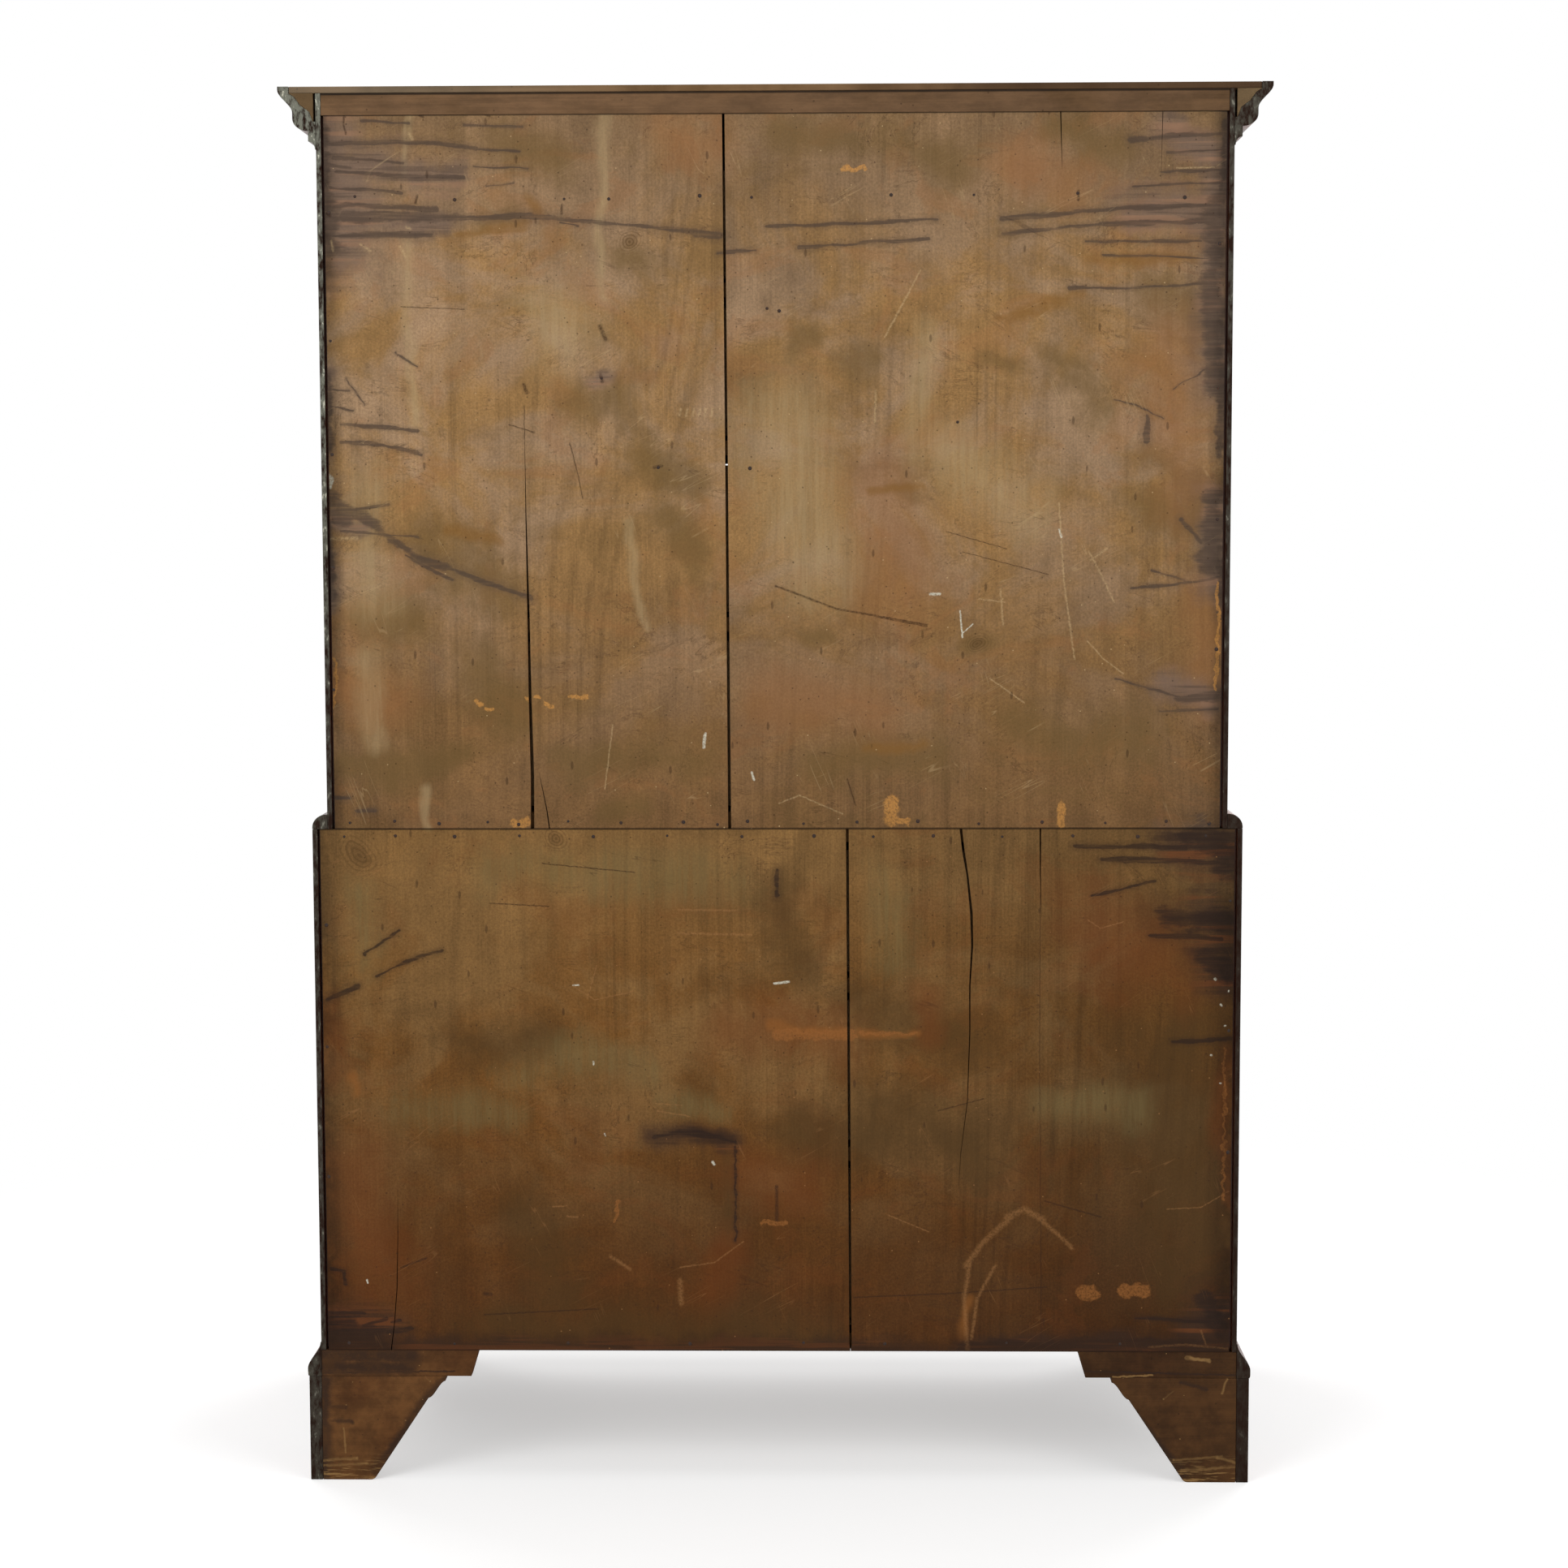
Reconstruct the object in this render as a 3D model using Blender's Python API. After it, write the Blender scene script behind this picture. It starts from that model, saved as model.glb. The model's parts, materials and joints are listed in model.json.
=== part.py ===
"""Chest on chest of drawers, modelled piece by piece in metres with +Z up.

The front faces -Y and the back, which the photograph shows, faces +Y. The origin is on the floor
under the middle of the whole piece. Left and right are as seen from the front.
"""

import math

import bmesh
import bpy
from mathutils import Matrix, Vector

# Clearances, and how far a cutter runs past what it cuts
FIT = 0.0003
SLIDE_SIDE = 0.0012
SLIDE_TOP = 0.0022
OVERCUT = 0.0100

# Feet and the battens over the rear ones
FOOT_HEIGHT = 0.1352
FOOT_LENGTH = 0.1740
FOOT_TOE = 0.0810
FOOT_TOE_RADIUS = 0.0090
FOOT_SHOULDER = 0.0220
FOOT_LIP = 0.0060
BRACKET_THICKNESS = 0.0220
FOOT_BLOCK = 0.0450
FOOT_BLOCK_LIFT = 0.0040
BATTEN_HEIGHT = 0.0334
BATTEN_LENGTH = 0.2010
BATTEN_DEPTH = 0.0180
BATTEN_END_SLOPE = 0.0100

# Cases
LOWER_WIDTH = 1.1620
LOWER_DEPTH = 0.5500
LOWER_HEIGHT = 0.6664
WAIST_STEP = 0.0190
UPPER_HEIGHT = 0.9058
SIDE_THICKNESS = 0.0180
DIVIDER_THICKNESS = 0.0180
LOWER_TOP_THICKNESS = 0.0180
BOTTOM_THICKNESS = 0.0200
TOP_THICKNESS = 0.0080
HOUSING = 0.0060
FRONT_RAIL_HEIGHT = 0.0800
FRONT_RAIL_THICKNESS = 0.0200
REAR_RAIL_HEIGHT = 0.0265

# Backboards, whose joints lean a little from top to bottom
BACKBOARD_THICKNESS = 0.0110
BACK_INSET = 0.0010
SIDE_LIP = 0.0060
SIDE_GROOVE = 0.0035
JOINT_GAP = 0.0035
SPLIT_GAP = 0.0042
UPPER_JOINT_TOP = 0.0624
UPPER_JOINT_BOTTOM = 0.0577
UPPER_SPLIT_TOP = 0.3150
UPPER_SPLIT_BOTTOM = 0.3035
LOWER_JOINT_TOP = -0.0888
LOWER_JOINT_BOTTOM = -0.0926

# Mouldings, each from its lowest member to its highest
BASE_PROJECTION = 0.0175
BASE_SET_BACK = 0.0015
BASE_NOSE = 0.0100
BASE_OGEE_RISE = 0.0335
BASE_QUIRK = 0.0010
WAIST_RISE = 0.0180
WAIST_FILLET = 0.0018
CORNICE_QUIRK = 0.0012
CORNICE_COVE_REACH = 0.0083
CORNICE_COVE_RISE = 0.0098
CORNICE_BEAD = 0.0125
CORNICE_OVOLO_REACH = 0.0190
CORNICE_OVOLO_RISE = 0.0145
CORNICE_BAND = 0.0075
CORNICE_OGEE_REACH = 0.0180
CORNICE_OGEE_RISE = 0.0275
CORNICE_TOP_FILLET = 0.0040
CORNICE_FACING = 0.0135

# Drawers, each row deeper than the one above it
DRAWER_GRADUATION = 0.0250
DRAWER_FRONT_THICKNESS = 0.0200
DRAWER_SIDE_THICKNESS = 0.0100
DRAWER_BOTTOM_THICKNESS = 0.0080
DRAWER_BOTTOM_LIFT = 0.0060
DRAWER_SIDE_DROP = 0.0040
DRAWER_REAR_SPACE = 0.0150

# Pulls, each a swan-necked bail hung between two turned posts
LONG_PULL_X = 0.3400
PULL_RAISE = 0.0120
POST_SPACING = 0.0760
PULL_REACH = 0.0172
PIN_RADIUS = 0.0021
PIN_PAST_CENTRE = 0.0012
GRIP_RADIUS = 0.0030
BAIL_DROP = 0.0340
BAIL_SHOULDER_GAP = 0.0010
BAIL_ELBOW = 0.0032
BAIL_NECK_IN = 0.0100
BAIL_NECK_DROP = 0.0190
BAIL_CORNER = 0.0140
ROSE_RADIUS = 0.0110
ROSE_THICKNESS = 0.0016
NECK_RADIUS = 0.0042
POMMEL_RADIUS = 0.0062
POMMEL_LENGTH = 0.0090
POST_ROOT = 0.0040
POST_SIDES = 8
HOLE_SIDES = 8

# Levels from the floor up
LOWER_BOTTOM = FOOT_HEIGHT + FIT + BATTEN_HEIGHT + FIT
LOWER_TOP = LOWER_BOTTOM + LOWER_HEIGHT
UPPER_BOTTOM = LOWER_TOP + FIT
UPPER_TOP = UPPER_BOTTOM + UPPER_HEIGHT
TOP = UPPER_TOP + FIT + TOP_THICKNESS

# Planes from side to side and from back to front, centred on the deepest outline
LOWER_HALF = LOWER_WIDTH / 2
UPPER_HALF = LOWER_HALF - WAIST_STEP
UPPER_DEPTH = LOWER_DEPTH - WAIST_STEP
FOOT_OUT = BASE_PROJECTION - BASE_SET_BACK
CORNICE_BEAD_REACH = CORNICE_QUIRK + CORNICE_COVE_REACH
CORNICE_BAND_REACH = CORNICE_BEAD_REACH + CORNICE_OVOLO_REACH
CORNICE_PROJECTION = CORNICE_BAND_REACH + CORNICE_OGEE_REACH
CORNICE_CORE_REACH = CORNICE_PROJECTION - CORNICE_FACING
POMMEL_TIP = PULL_REACH + POMMEL_LENGTH / 2
FRONT_REACH = max(CORNICE_PROJECTION - WAIST_STEP, BASE_PROJECTION, POMMEL_TIP)
BACK = (LOWER_DEPTH + FRONT_REACH) / 2
LOWER_FRONT = BACK - LOWER_DEPTH
UPPER_FRONT = BACK - UPPER_DEPTH
BOARD_BACK = BACK - BACK_INSET
BOARD_FRONT = BOARD_BACK - BACKBOARD_THICKNESS
SHELF_BACK = BOARD_FRONT - FIT

# A collection of the model's pieces, and one of the shapes that cut or join them
PARTS = bpy.data.collections.new("chest_on_chest")
HELPERS = bpy.data.collections.new("cutters_and_joiners")


def clear_scene():
    for obj in list(bpy.data.objects):
        bpy.data.objects.remove(obj)
    bpy.context.scene.collection.children.link(PARTS)
    bpy.context.scene.collection.children.link(HELPERS)


def add_material(name, colour, roughness, metallic=0.0):
    finish = bpy.data.materials.new(name)
    finish.use_nodes = True
    shader = finish.node_tree.nodes["Principled BSDF"]
    shader.inputs["Base Color"].default_value = (*colour, 1.0)
    shader.inputs["Roughness"].default_value = roughness
    shader.inputs["Metallic"].default_value = metallic
    return finish


def world_origin(empty):
    """Where an empty stands in the world, adding up the empties that carry it."""
    place = Vector()
    while empty is not None:
        place += empty.location
        empty = empty.parent
    return place


def put(obj, place, parent, collection):
    """Stand an object at a place in the world, carried by its parent."""
    obj.parent = parent
    obj.location = Vector(place) - world_origin(parent)
    collection.objects.link(obj)
    return obj


def add_empty(name, place, parent=None):
    return put(bpy.data.objects.new(name, None), place, parent, PARTS)


def finished_mesh(name, shape):
    """A mesh from a bmesh, with its faces turned outward."""
    bmesh.ops.recalc_face_normals(shape, faces=shape.faces)
    mesh = bpy.data.meshes.new(name)
    shape.to_mesh(mesh)
    shape.free()
    return mesh


def box_mesh(name, size):
    shape = bmesh.new()
    bmesh.ops.create_cube(shape, size=1.0)
    bmesh.ops.scale(shape, vec=size, verts=shape.verts)
    return finished_mesh(name, shape)


def add_box(name, low, high, finish, parent):
    """A board between two corners in the world, with its origin at its centre."""
    low, high = Vector(low), Vector(high)
    mesh = box_mesh(name, high - low)
    mesh.materials.append(finish)
    return put(bpy.data.objects.new(name, mesh), (low + high) / 2, parent, PARTS)


def combine(target, operation, name, mesh, place=(0, 0, 0)):
    """Cut a helper shape out of a piece, or join it on."""
    helper = put(bpy.data.objects.new(name, mesh), place, None, HELPERS)
    helper.hide_render = True
    helper.display_type = "WIRE"
    modifier = target.modifiers.new(name, "BOOLEAN")
    modifier.operation = operation
    modifier.object = helper


def combine_box(target, operation, name, low, high):
    low, high = Vector(low), Vector(high)
    combine(target, operation, name, box_mesh(name, high - low), (low + high) / 2)


def outline_curve(name, outline, thickness):
    """A flat outline of points across and up, thickened evenly to both sides."""
    curve = bpy.data.curves.new(name, "CURVE")
    curve.dimensions = "2D"
    curve.fill_mode = "BOTH"
    curve.extrude = thickness / 2
    spline = curve.splines.new("POLY")
    spline.points.add(len(outline) - 1)
    for point, (across, up) in zip(spline.points, outline):
        point.co = (across, up, 0, 1)
    spline.use_cyclic_u = True
    return curve


def add_outline(name, outline, front, back, finish, parent):
    """A board with a drawn outline, standing between two planes of Y."""
    curve = outline_curve(name, outline, back - front)
    curve.materials.append(finish)
    board = bpy.data.objects.new(name, curve)
    board.rotation_euler = (math.pi / 2, 0, 0)
    return put(board, (0, (front + back) / 2, 0), parent, PARTS)


def outline_mesh(name, outline, thickness, stance):
    """A board with a drawn outline as a closed mesh, for a piece that is joined or cut."""
    curve = outline_curve(name, outline, thickness)
    source = bpy.data.objects.new(name, curve)
    source.rotation_euler = stance
    HELPERS.objects.link(source)
    bpy.context.view_layer.update()
    evaluated = source.evaluated_get(bpy.context.evaluated_depsgraph_get())
    flat = bpy.data.meshes.new_from_object(evaluated)
    flat.transform(source.matrix_world)
    shape = bmesh.new()
    shape.from_mesh(flat)
    bmesh.ops.remove_doubles(shape, verts=shape.verts, dist=0.00001)
    bpy.data.objects.remove(source)
    bpy.data.curves.remove(curve)
    bpy.data.meshes.remove(flat)
    return finished_mesh(name, shape)


def ease(share):
    return share * share * (3 - 2 * share)


def ogee(start, end, steps):
    """An S between two points, upright at both ends."""
    points = []
    for step in range(steps + 1):
        share = step / steps
        across = start[0] + (end[0] - start[0]) * ease(share)
        points.append((across, start[1] + (end[1] - start[1]) * share))
    return points


def quarter(centre, reach, rise, start_degrees, end_degrees, steps):
    """Part of an ellipse, from one angle to another."""
    points = []
    for step in range(steps + 1):
        angle = math.radians(start_degrees + (end_degrees - start_degrees) * step / steps)
        points.append((centre[0] + reach * math.cos(angle), centre[1] + rise * math.sin(angle)))
    return points


def add_moulding(name, profile, half_width, front, finish, parent):
    """A profile of reach and height run round both sides and the front, mitred at the corners."""
    stations = [(1, False), (1, True), (-1, True), (-1, False)]
    shape = bmesh.new()
    rings = []
    for turn, at_front in stations:
        points = []
        for reach, height in profile:
            along = front - reach if at_front else BACK
            points.append(shape.verts.new((turn * (half_width + reach), along, height)))
        edges = [shape.edges.new(pair) for pair in zip(points, points[1:] + points[:1])]
        rings.append((points, edges))
    for near, far in zip(rings, rings[1:]):
        bmesh.ops.bridge_loops(shape, edges=near[1] + far[1])
    shape.faces.new(rings[0][0])
    shape.faces.new(rings[-1][0])
    mesh = finished_mesh(name, shape)
    mesh.materials.append(finish)
    return put(bpy.data.objects.new(name, mesh), (0, 0, 0), parent, PARTS)


def add_sides(prefix, half_width, front, low, high, finish, parent):
    """Two side boards, rebated behind for the backboards, with the left one first."""
    sides = []
    for label, turn in (("left", -1), ("right", 1)):
        faces = sorted((turn * half_width, turn * (half_width - SIDE_THICKNESS)))
        name = f"{prefix}_side_{label}"
        side = add_box(name, (faces[0], front, low), (faces[1], BACK, high), finish, parent)
        rebate = sorted((turn * (half_width - SIDE_LIP), turn * (half_width - SIDE_THICKNESS - OVERCUT)))
        combine_box(
            side,
            "DIFFERENCE",
            f"{name}_rebate",
            (rebate[0], SHELF_BACK, low - OVERCUT),
            (rebate[1], BACK + OVERCUT, high + OVERCUT),
        )
        sides.append((turn, side))
    return sides


def add_shelf(name, sides, half_width, front, low, thickness, finish, parent):
    """A full-depth board, and the grooves that house its ends in both sides."""
    inner = half_width - SIDE_THICKNESS
    reach = inner + HOUSING
    add_box(name, (-reach, front, low), (reach, SHELF_BACK, low + thickness), finish, parent)
    for turn, side in sides:
        groove = sorted((turn * (inner - OVERCUT), turn * (reach + FIT)))
        combine_box(
            side,
            "DIFFERENCE",
            f"{side.name}_groove_for_{name}",
            (groove[0], front - OVERCUT, low - FIT),
            (groove[1], SHELF_BACK + 2 * FIT, low + thickness + FIT),
        )


def add_backboard(name, left, right, low, high, finish, parent):
    """A backboard whose left and right edges each run from a lower to an upper place."""
    outline = [(left[0], low), (right[0], low), (right[1], high), (left[1], high)]
    add_outline(name, outline, BOARD_FRONT, BOARD_BACK, finish, parent)


def drawer_rows(low, high, count):
    """The lower edge and height of each drawer opening, from the top row down."""
    free = high - low - (count - 1) * DIVIDER_THICKNESS
    steps = count * (count - 1) / 2
    first = (free - steps * DRAWER_GRADUATION) / count
    rows = []
    for row in range(count):
        height = first + row * DRAWER_GRADUATION
        rows.append((high - height, height))
        high -= height + DIVIDER_THICKNESS
    return rows


def under_bracket():
    """What is cut away under a foot bracket: its toe, slope and shoulder, then square to the floor."""
    slope_top = (FOOT_LENGTH - FOOT_SHOULDER, FOOT_HEIGHT - FOOT_LIP - FOOT_SHOULDER)
    slope = math.degrees(math.atan2(slope_top[1], slope_top[0] - FOOT_TOE))
    tangent = FOOT_TOE_RADIUS * math.tan(math.radians(slope / 2))
    toe_centre = (FOOT_TOE - tangent, FOOT_TOE_RADIUS)
    outline = [(toe_centre[0], -OVERCUT)]
    outline += quarter(toe_centre, FOOT_TOE_RADIUS, FOOT_TOE_RADIUS, -90, slope - 90, 3)
    for step in range(5):
        share = step / 4
        outline.append((slope_top[0] + FOOT_SHOULDER * share, slope_top[1] + FOOT_SHOULDER * ease(share)))
    outline += [(FOOT_LENGTH + OVERCUT, FOOT_HEIGHT - FOOT_LIP), (FOOT_LENGTH + OVERCUT, -OVERCUT)]
    return outline


def add_foot(name, turn, at_front, finish, parent):
    """Two brackets that meet at a corner, with the block that stands behind them."""
    corner_x = turn * (LOWER_HALF + FOOT_OUT)
    corner_y = LOWER_FRONT - FOOT_OUT if at_front else BACK
    inward = 1 if at_front else -1
    plan = [
        (0, 0),
        (FOOT_LENGTH, 0),
        (FOOT_LENGTH, BRACKET_THICKNESS),
        (BRACKET_THICKNESS, BRACKET_THICKNESS),
        (BRACKET_THICKNESS, FOOT_LENGTH),
        (0, FOOT_LENGTH),
    ]
    plan = [(-turn * across, inward * along) for across, along in plan]
    mesh = outline_mesh(name, plan, FOOT_HEIGHT, (0, 0, 0))
    mesh.materials.append(finish)
    foot = put(bpy.data.objects.new(name, mesh), (corner_x, corner_y, FOOT_HEIGHT / 2), parent, PARTS)

    cut_width = BRACKET_THICKNESS + 2 * OVERCUT
    middle = BRACKET_THICKNESS / 2
    across = [(-turn * along, up) for along, up in under_bracket()]
    across_mesh = outline_mesh(f"{name}_under_end", across, cut_width, (math.pi / 2, 0, 0))
    combine(foot, "DIFFERENCE", f"{name}_under_end", across_mesh, (corner_x, corner_y + inward * middle, 0))
    sideways = [(inward * along, up) for along, up in under_bracket()]
    side_mesh = outline_mesh(f"{name}_under_side", sideways, cut_width, (math.pi / 2, 0, math.pi / 2))
    combine(foot, "DIFFERENCE", f"{name}_under_side", side_mesh, (corner_x - turn * middle, corner_y, 0))

    block_face = LOWER_FRONT + FIT if at_front else BOARD_BACK - BATTEN_DEPTH - FIT
    block_x = sorted((turn * (LOWER_HALF - FIT), turn * (LOWER_HALF - FIT - FOOT_BLOCK)))
    block_y = sorted((block_face, block_face + inward * FOOT_BLOCK))
    combine_box(
        foot,
        "UNION",
        f"{name}_block",
        (block_x[0], block_y[0], FOOT_BLOCK_LIFT),
        (block_x[1], block_y[1], LOWER_BOTTOM - FIT),
    )


def add_batten(name, turn, finish, parent):
    """The batten between a rear foot and the case, with its inner end sloped."""
    low = FOOT_HEIGHT + FIT
    end = LOWER_HALF - BATTEN_LENGTH
    outline = [
        (turn * LOWER_HALF, low),
        (turn * LOWER_HALF, low + BATTEN_HEIGHT),
        (turn * end, low + BATTEN_HEIGHT),
        (turn * (end + BATTEN_END_SLOPE), low),
    ]
    add_outline(name, outline, BOARD_BACK - BATTEN_DEPTH, BOARD_BACK, finish, parent)


def base_profile():
    low = FOOT_HEIGHT + FIT
    nose = low + BASE_NOSE
    outline = [(FIT, low), (FOOT_OUT, low), (BASE_PROJECTION, low + BASE_NOSE / 2)]
    outline += ogee((BASE_PROJECTION, nose), (BASE_QUIRK, nose + BASE_OGEE_RISE), 6)
    outline.append((FIT, nose + BASE_OGEE_RISE))
    return outline


def waist_profile():
    low = LOWER_TOP + FIT
    fillet = low + WAIST_FILLET
    reach = WAIST_STEP - WAIST_FILLET
    outline = [(FIT, low), (WAIST_STEP, low)]
    outline += quarter((WAIST_FILLET, fillet), reach, WAIST_RISE - WAIST_FILLET, 0, 90, 5)
    outline.append((FIT, low + WAIST_RISE))
    return outline


def cornice_profile():
    """From the case outward and up: cove, bead, ovolo, band, ogee and fillet, with the top board's seat."""
    ogee_top = TOP - CORNICE_TOP_FILLET
    band_top = ogee_top - CORNICE_OGEE_RISE
    ovolo_top = band_top - CORNICE_BAND
    bead_top = ovolo_top - CORNICE_OVOLO_RISE
    cove_top = bead_top - CORNICE_BEAD
    low = cove_top - CORNICE_COVE_RISE
    outline = [(FIT, UPPER_TOP), (FIT, low)]
    outline += quarter((CORNICE_BEAD_REACH, low), CORNICE_COVE_REACH, CORNICE_COVE_RISE, 180, 90, 3)
    outline += quarter(
        (CORNICE_BEAD_REACH, ovolo_top), CORNICE_OVOLO_REACH, CORNICE_OVOLO_RISE, -90, 0, 4
    )
    outline += ogee((CORNICE_BAND_REACH, band_top), (CORNICE_PROJECTION, ogee_top), 6)
    outline += [(CORNICE_PROJECTION, TOP), (CORNICE_CORE_REACH, TOP), (CORNICE_CORE_REACH, UPPER_TOP)]
    return outline


def post_profile():
    """A pull post's radius at each distance out from the drawer's face."""
    pommel = PULL_REACH - POMMEL_LENGTH / 2
    return [
        (0, -POST_ROOT),
        (ROSE_RADIUS, -POST_ROOT),
        (ROSE_RADIUS, ROSE_THICKNESS),
        (NECK_RADIUS, ROSE_THICKNESS),
        (NECK_RADIUS, pommel),
        (POMMEL_RADIUS, pommel),
        (POMMEL_RADIUS, POMMEL_TIP),
        (0, POMMEL_TIP),
    ]


def posts_mesh(name, centres):
    """Turned posts that point forward from the drawer's face."""
    shape = bmesh.new()
    for centre in centres:
        points = [shape.verts.new(centre + Vector((radius, -out, 0))) for radius, out in post_profile()]
        edges = [shape.edges.new(pair) for pair in zip(points, points[1:])]
        bmesh.ops.spin(
            shape,
            geom=points + edges,
            cent=centre,
            axis=(0, 1, 0),
            angle=2 * math.pi,
            steps=POST_SIDES,
            use_merge=True,
        )
    bmesh.ops.remove_doubles(shape, verts=shape.verts, dist=0.00001)
    return finished_mesh(name, shape)


def pin_holes_mesh(name, centres):
    """Cross holes that clear the bail's pins by the fit, measured on the flats of the hole."""
    radius = (PIN_RADIUS + FIT) / math.cos(math.pi / HOLE_SIDES)
    shape = bmesh.new()
    for centre in centres:
        place = Matrix.Translation(centre + Vector((0, -PULL_REACH, 0)))
        bmesh.ops.create_cone(
            shape,
            cap_ends=True,
            segments=HOLE_SIDES,
            radius1=radius,
            radius2=radius,
            depth=4 * POMMEL_RADIUS,
            matrix=place @ Matrix.Rotation(math.pi / 2, 4, "Y"),
        )
    return finished_mesh(name, shape)


def bail_half():
    """One half of the bail's line, from its pin to the grip, as across and down from the pin's axis."""
    pin_end = POST_SPACING / 2 - PIN_PAST_CENTRE
    shoulder = POST_SPACING / 2 + POMMEL_RADIUS + BAIL_SHOULDER_GAP
    arm = shoulder + BAIL_ELBOW
    neck_low = -BAIL_ELBOW - BAIL_NECK_DROP
    line = [(pin_end, 0)]
    line += quarter((shoulder, -BAIL_ELBOW), BAIL_ELBOW, BAIL_ELBOW, 90, 0, 2)
    line += ogee((arm, -BAIL_ELBOW), (arm - BAIL_NECK_IN, neck_low), 3)[1:]
    corner = (arm - BAIL_NECK_IN - BAIL_CORNER, neck_low)
    line += quarter(corner, BAIL_CORNER, BAIL_DROP + neck_low, 0, -90, 3)[1:]
    return line


def add_bail(name, centre, finish, parent):
    """A bail whose origin is on the line through its two pins."""
    half = bail_half()
    line = half + [(-across, down) for across, down in reversed(half)]
    curve = bpy.data.curves.new(name, "CURVE")
    curve.dimensions = "3D"
    curve.bevel_depth = PIN_RADIUS
    curve.bevel_resolution = 2
    curve.use_fill_caps = True
    curve.materials.append(finish)
    spline = curve.splines.new("POLY")
    spline.points.add(len(line) - 1)
    for point, (across, down) in zip(spline.points, line):
        point.co = (across, 0, down, 1)
        point.radius = 1 - (GRIP_RADIUS / PIN_RADIUS - 1) * down / BAIL_DROP
    axis = centre + Vector((0, -PULL_REACH, 0))
    put(bpy.data.objects.new(name, curve), axis, parent, PARTS)


def add_drawer(name, middle, width, low, height, front, pulls, finishes, parent):
    """A drawer in its opening: a front with its posts, a box behind it, and its bails."""
    carrier = add_empty(name, (middle, front, low), parent)
    half = width / 2 - SLIDE_SIDE
    bottom = low + FIT
    top = low + height - SLIDE_TOP
    box_front = front + DRAWER_FRONT_THICKNESS + FIT
    box_back = SHELF_BACK - DRAWER_REAR_SPACE

    face = add_box(
        f"{name}_front",
        (middle - half, front, bottom),
        (middle + half, front + DRAWER_FRONT_THICKNESS, top),
        finishes["veneer"],
        carrier,
    )
    box = add_box(
        f"{name}_box",
        (middle - half, box_front, bottom),
        (middle + half, box_back, top - DRAWER_SIDE_DROP),
        finishes["lining"],
        carrier,
    )
    inner = half - DRAWER_SIDE_THICKNESS
    floor = bottom + DRAWER_BOTTOM_LIFT
    combine_box(
        box,
        "DIFFERENCE",
        f"{name}_inside",
        (middle - inner, box_front - OVERCUT, floor + DRAWER_BOTTOM_THICKNESS),
        (middle + inner, box_back - DRAWER_SIDE_THICKNESS, top + OVERCUT),
    )
    combine_box(
        box,
        "DIFFERENCE",
        f"{name}_underside",
        (middle - inner, box_front - OVERCUT, bottom - OVERCUT),
        (middle + inner, box_back + OVERCUT, floor),
    )

    pull_height = (bottom + top) / 2 + PULL_RAISE
    posts = []
    for label, offset in pulls:
        centre = Vector((middle + offset, front, pull_height))
        add_bail(f"{name}_{label}", centre, finishes["brass"], carrier)
        posts += [centre + Vector((turn * POST_SPACING / 2, 0, 0)) for turn in (-1, 1)]
    combine(face, "UNION", f"{name}_posts", posts_mesh(f"{name}_posts", posts))
    combine(face, "DIFFERENCE", f"{name}_pin_holes", pin_holes_mesh(f"{name}_pin_holes", posts))


def add_case_drawers(prefix, rows, half_width, front, finishes, parent):
    """A long drawer in each row, with two pulls."""
    width = 2 * (half_width - SIDE_THICKNESS)
    pulls = [("pull_left", -LONG_PULL_X), ("pull_right", LONG_PULL_X)]
    for number, (low, height) in enumerate(rows, start=1):
        name = f"{prefix}_long_drawer_{number}"
        add_drawer(name, 0, width, low, height, front, pulls, finishes, parent)


def add_dividers(prefix, rows, sides, half_width, front, finish, parent):
    for number, (low, _) in enumerate(rows[:-1], start=1):
        shelf_low = low - DIVIDER_THICKNESS
        name = f"{prefix}_divider_{number}"
        add_shelf(name, sides, half_width, front, shelf_low, DIVIDER_THICKNESS, finish, parent)


def build_lower_case(finishes):
    case = add_empty("lower_case", (0, 0, 0))
    veneer, pine = finishes["veneer"], finishes["pine"]
    sides = add_sides("lower", LOWER_HALF, LOWER_FRONT, LOWER_BOTTOM, LOWER_TOP, veneer, case)
    floor = LOWER_BOTTOM + BOTTOM_THICKNESS
    ceiling = LOWER_TOP - LOWER_TOP_THICKNESS
    add_shelf("lower_bottom_board", sides, LOWER_HALF, LOWER_FRONT, LOWER_BOTTOM, BOTTOM_THICKNESS, pine, case)
    add_shelf("lower_top_board", sides, LOWER_HALF, LOWER_FRONT, ceiling, LOWER_TOP_THICKNESS, pine, case)
    rows = drawer_rows(floor, ceiling, 3)
    add_dividers("lower", rows, sides, LOWER_HALF, LOWER_FRONT, veneer, case)

    edge = LOWER_HALF - SIDE_LIP - SIDE_GROOVE
    gap = JOINT_GAP / 2
    left_of_joint = (LOWER_JOINT_BOTTOM - gap, LOWER_JOINT_TOP - gap)
    right_of_joint = (LOWER_JOINT_BOTTOM + gap, LOWER_JOINT_TOP + gap)
    add_backboard("lower_backboard_left", (-edge, -edge), left_of_joint, LOWER_BOTTOM, LOWER_TOP, pine, case)
    add_backboard("lower_backboard_right", right_of_joint, (edge, edge), LOWER_BOTTOM, LOWER_TOP, pine, case)

    add_moulding("waist_moulding", waist_profile(), UPPER_HALF, UPPER_FRONT, veneer, case)
    add_moulding("base_moulding", base_profile(), LOWER_HALF, LOWER_FRONT, veneer, case)
    for label, turn in (("left", -1), ("right", 1)):
        add_foot(f"foot_front_{label}", turn, True, veneer, case)
        add_foot(f"foot_rear_{label}", turn, False, veneer, case)
        add_batten(f"foot_batten_{label}", turn, pine, case)
    add_case_drawers("lower", rows, LOWER_HALF, LOWER_FRONT, finishes, case)


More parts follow.
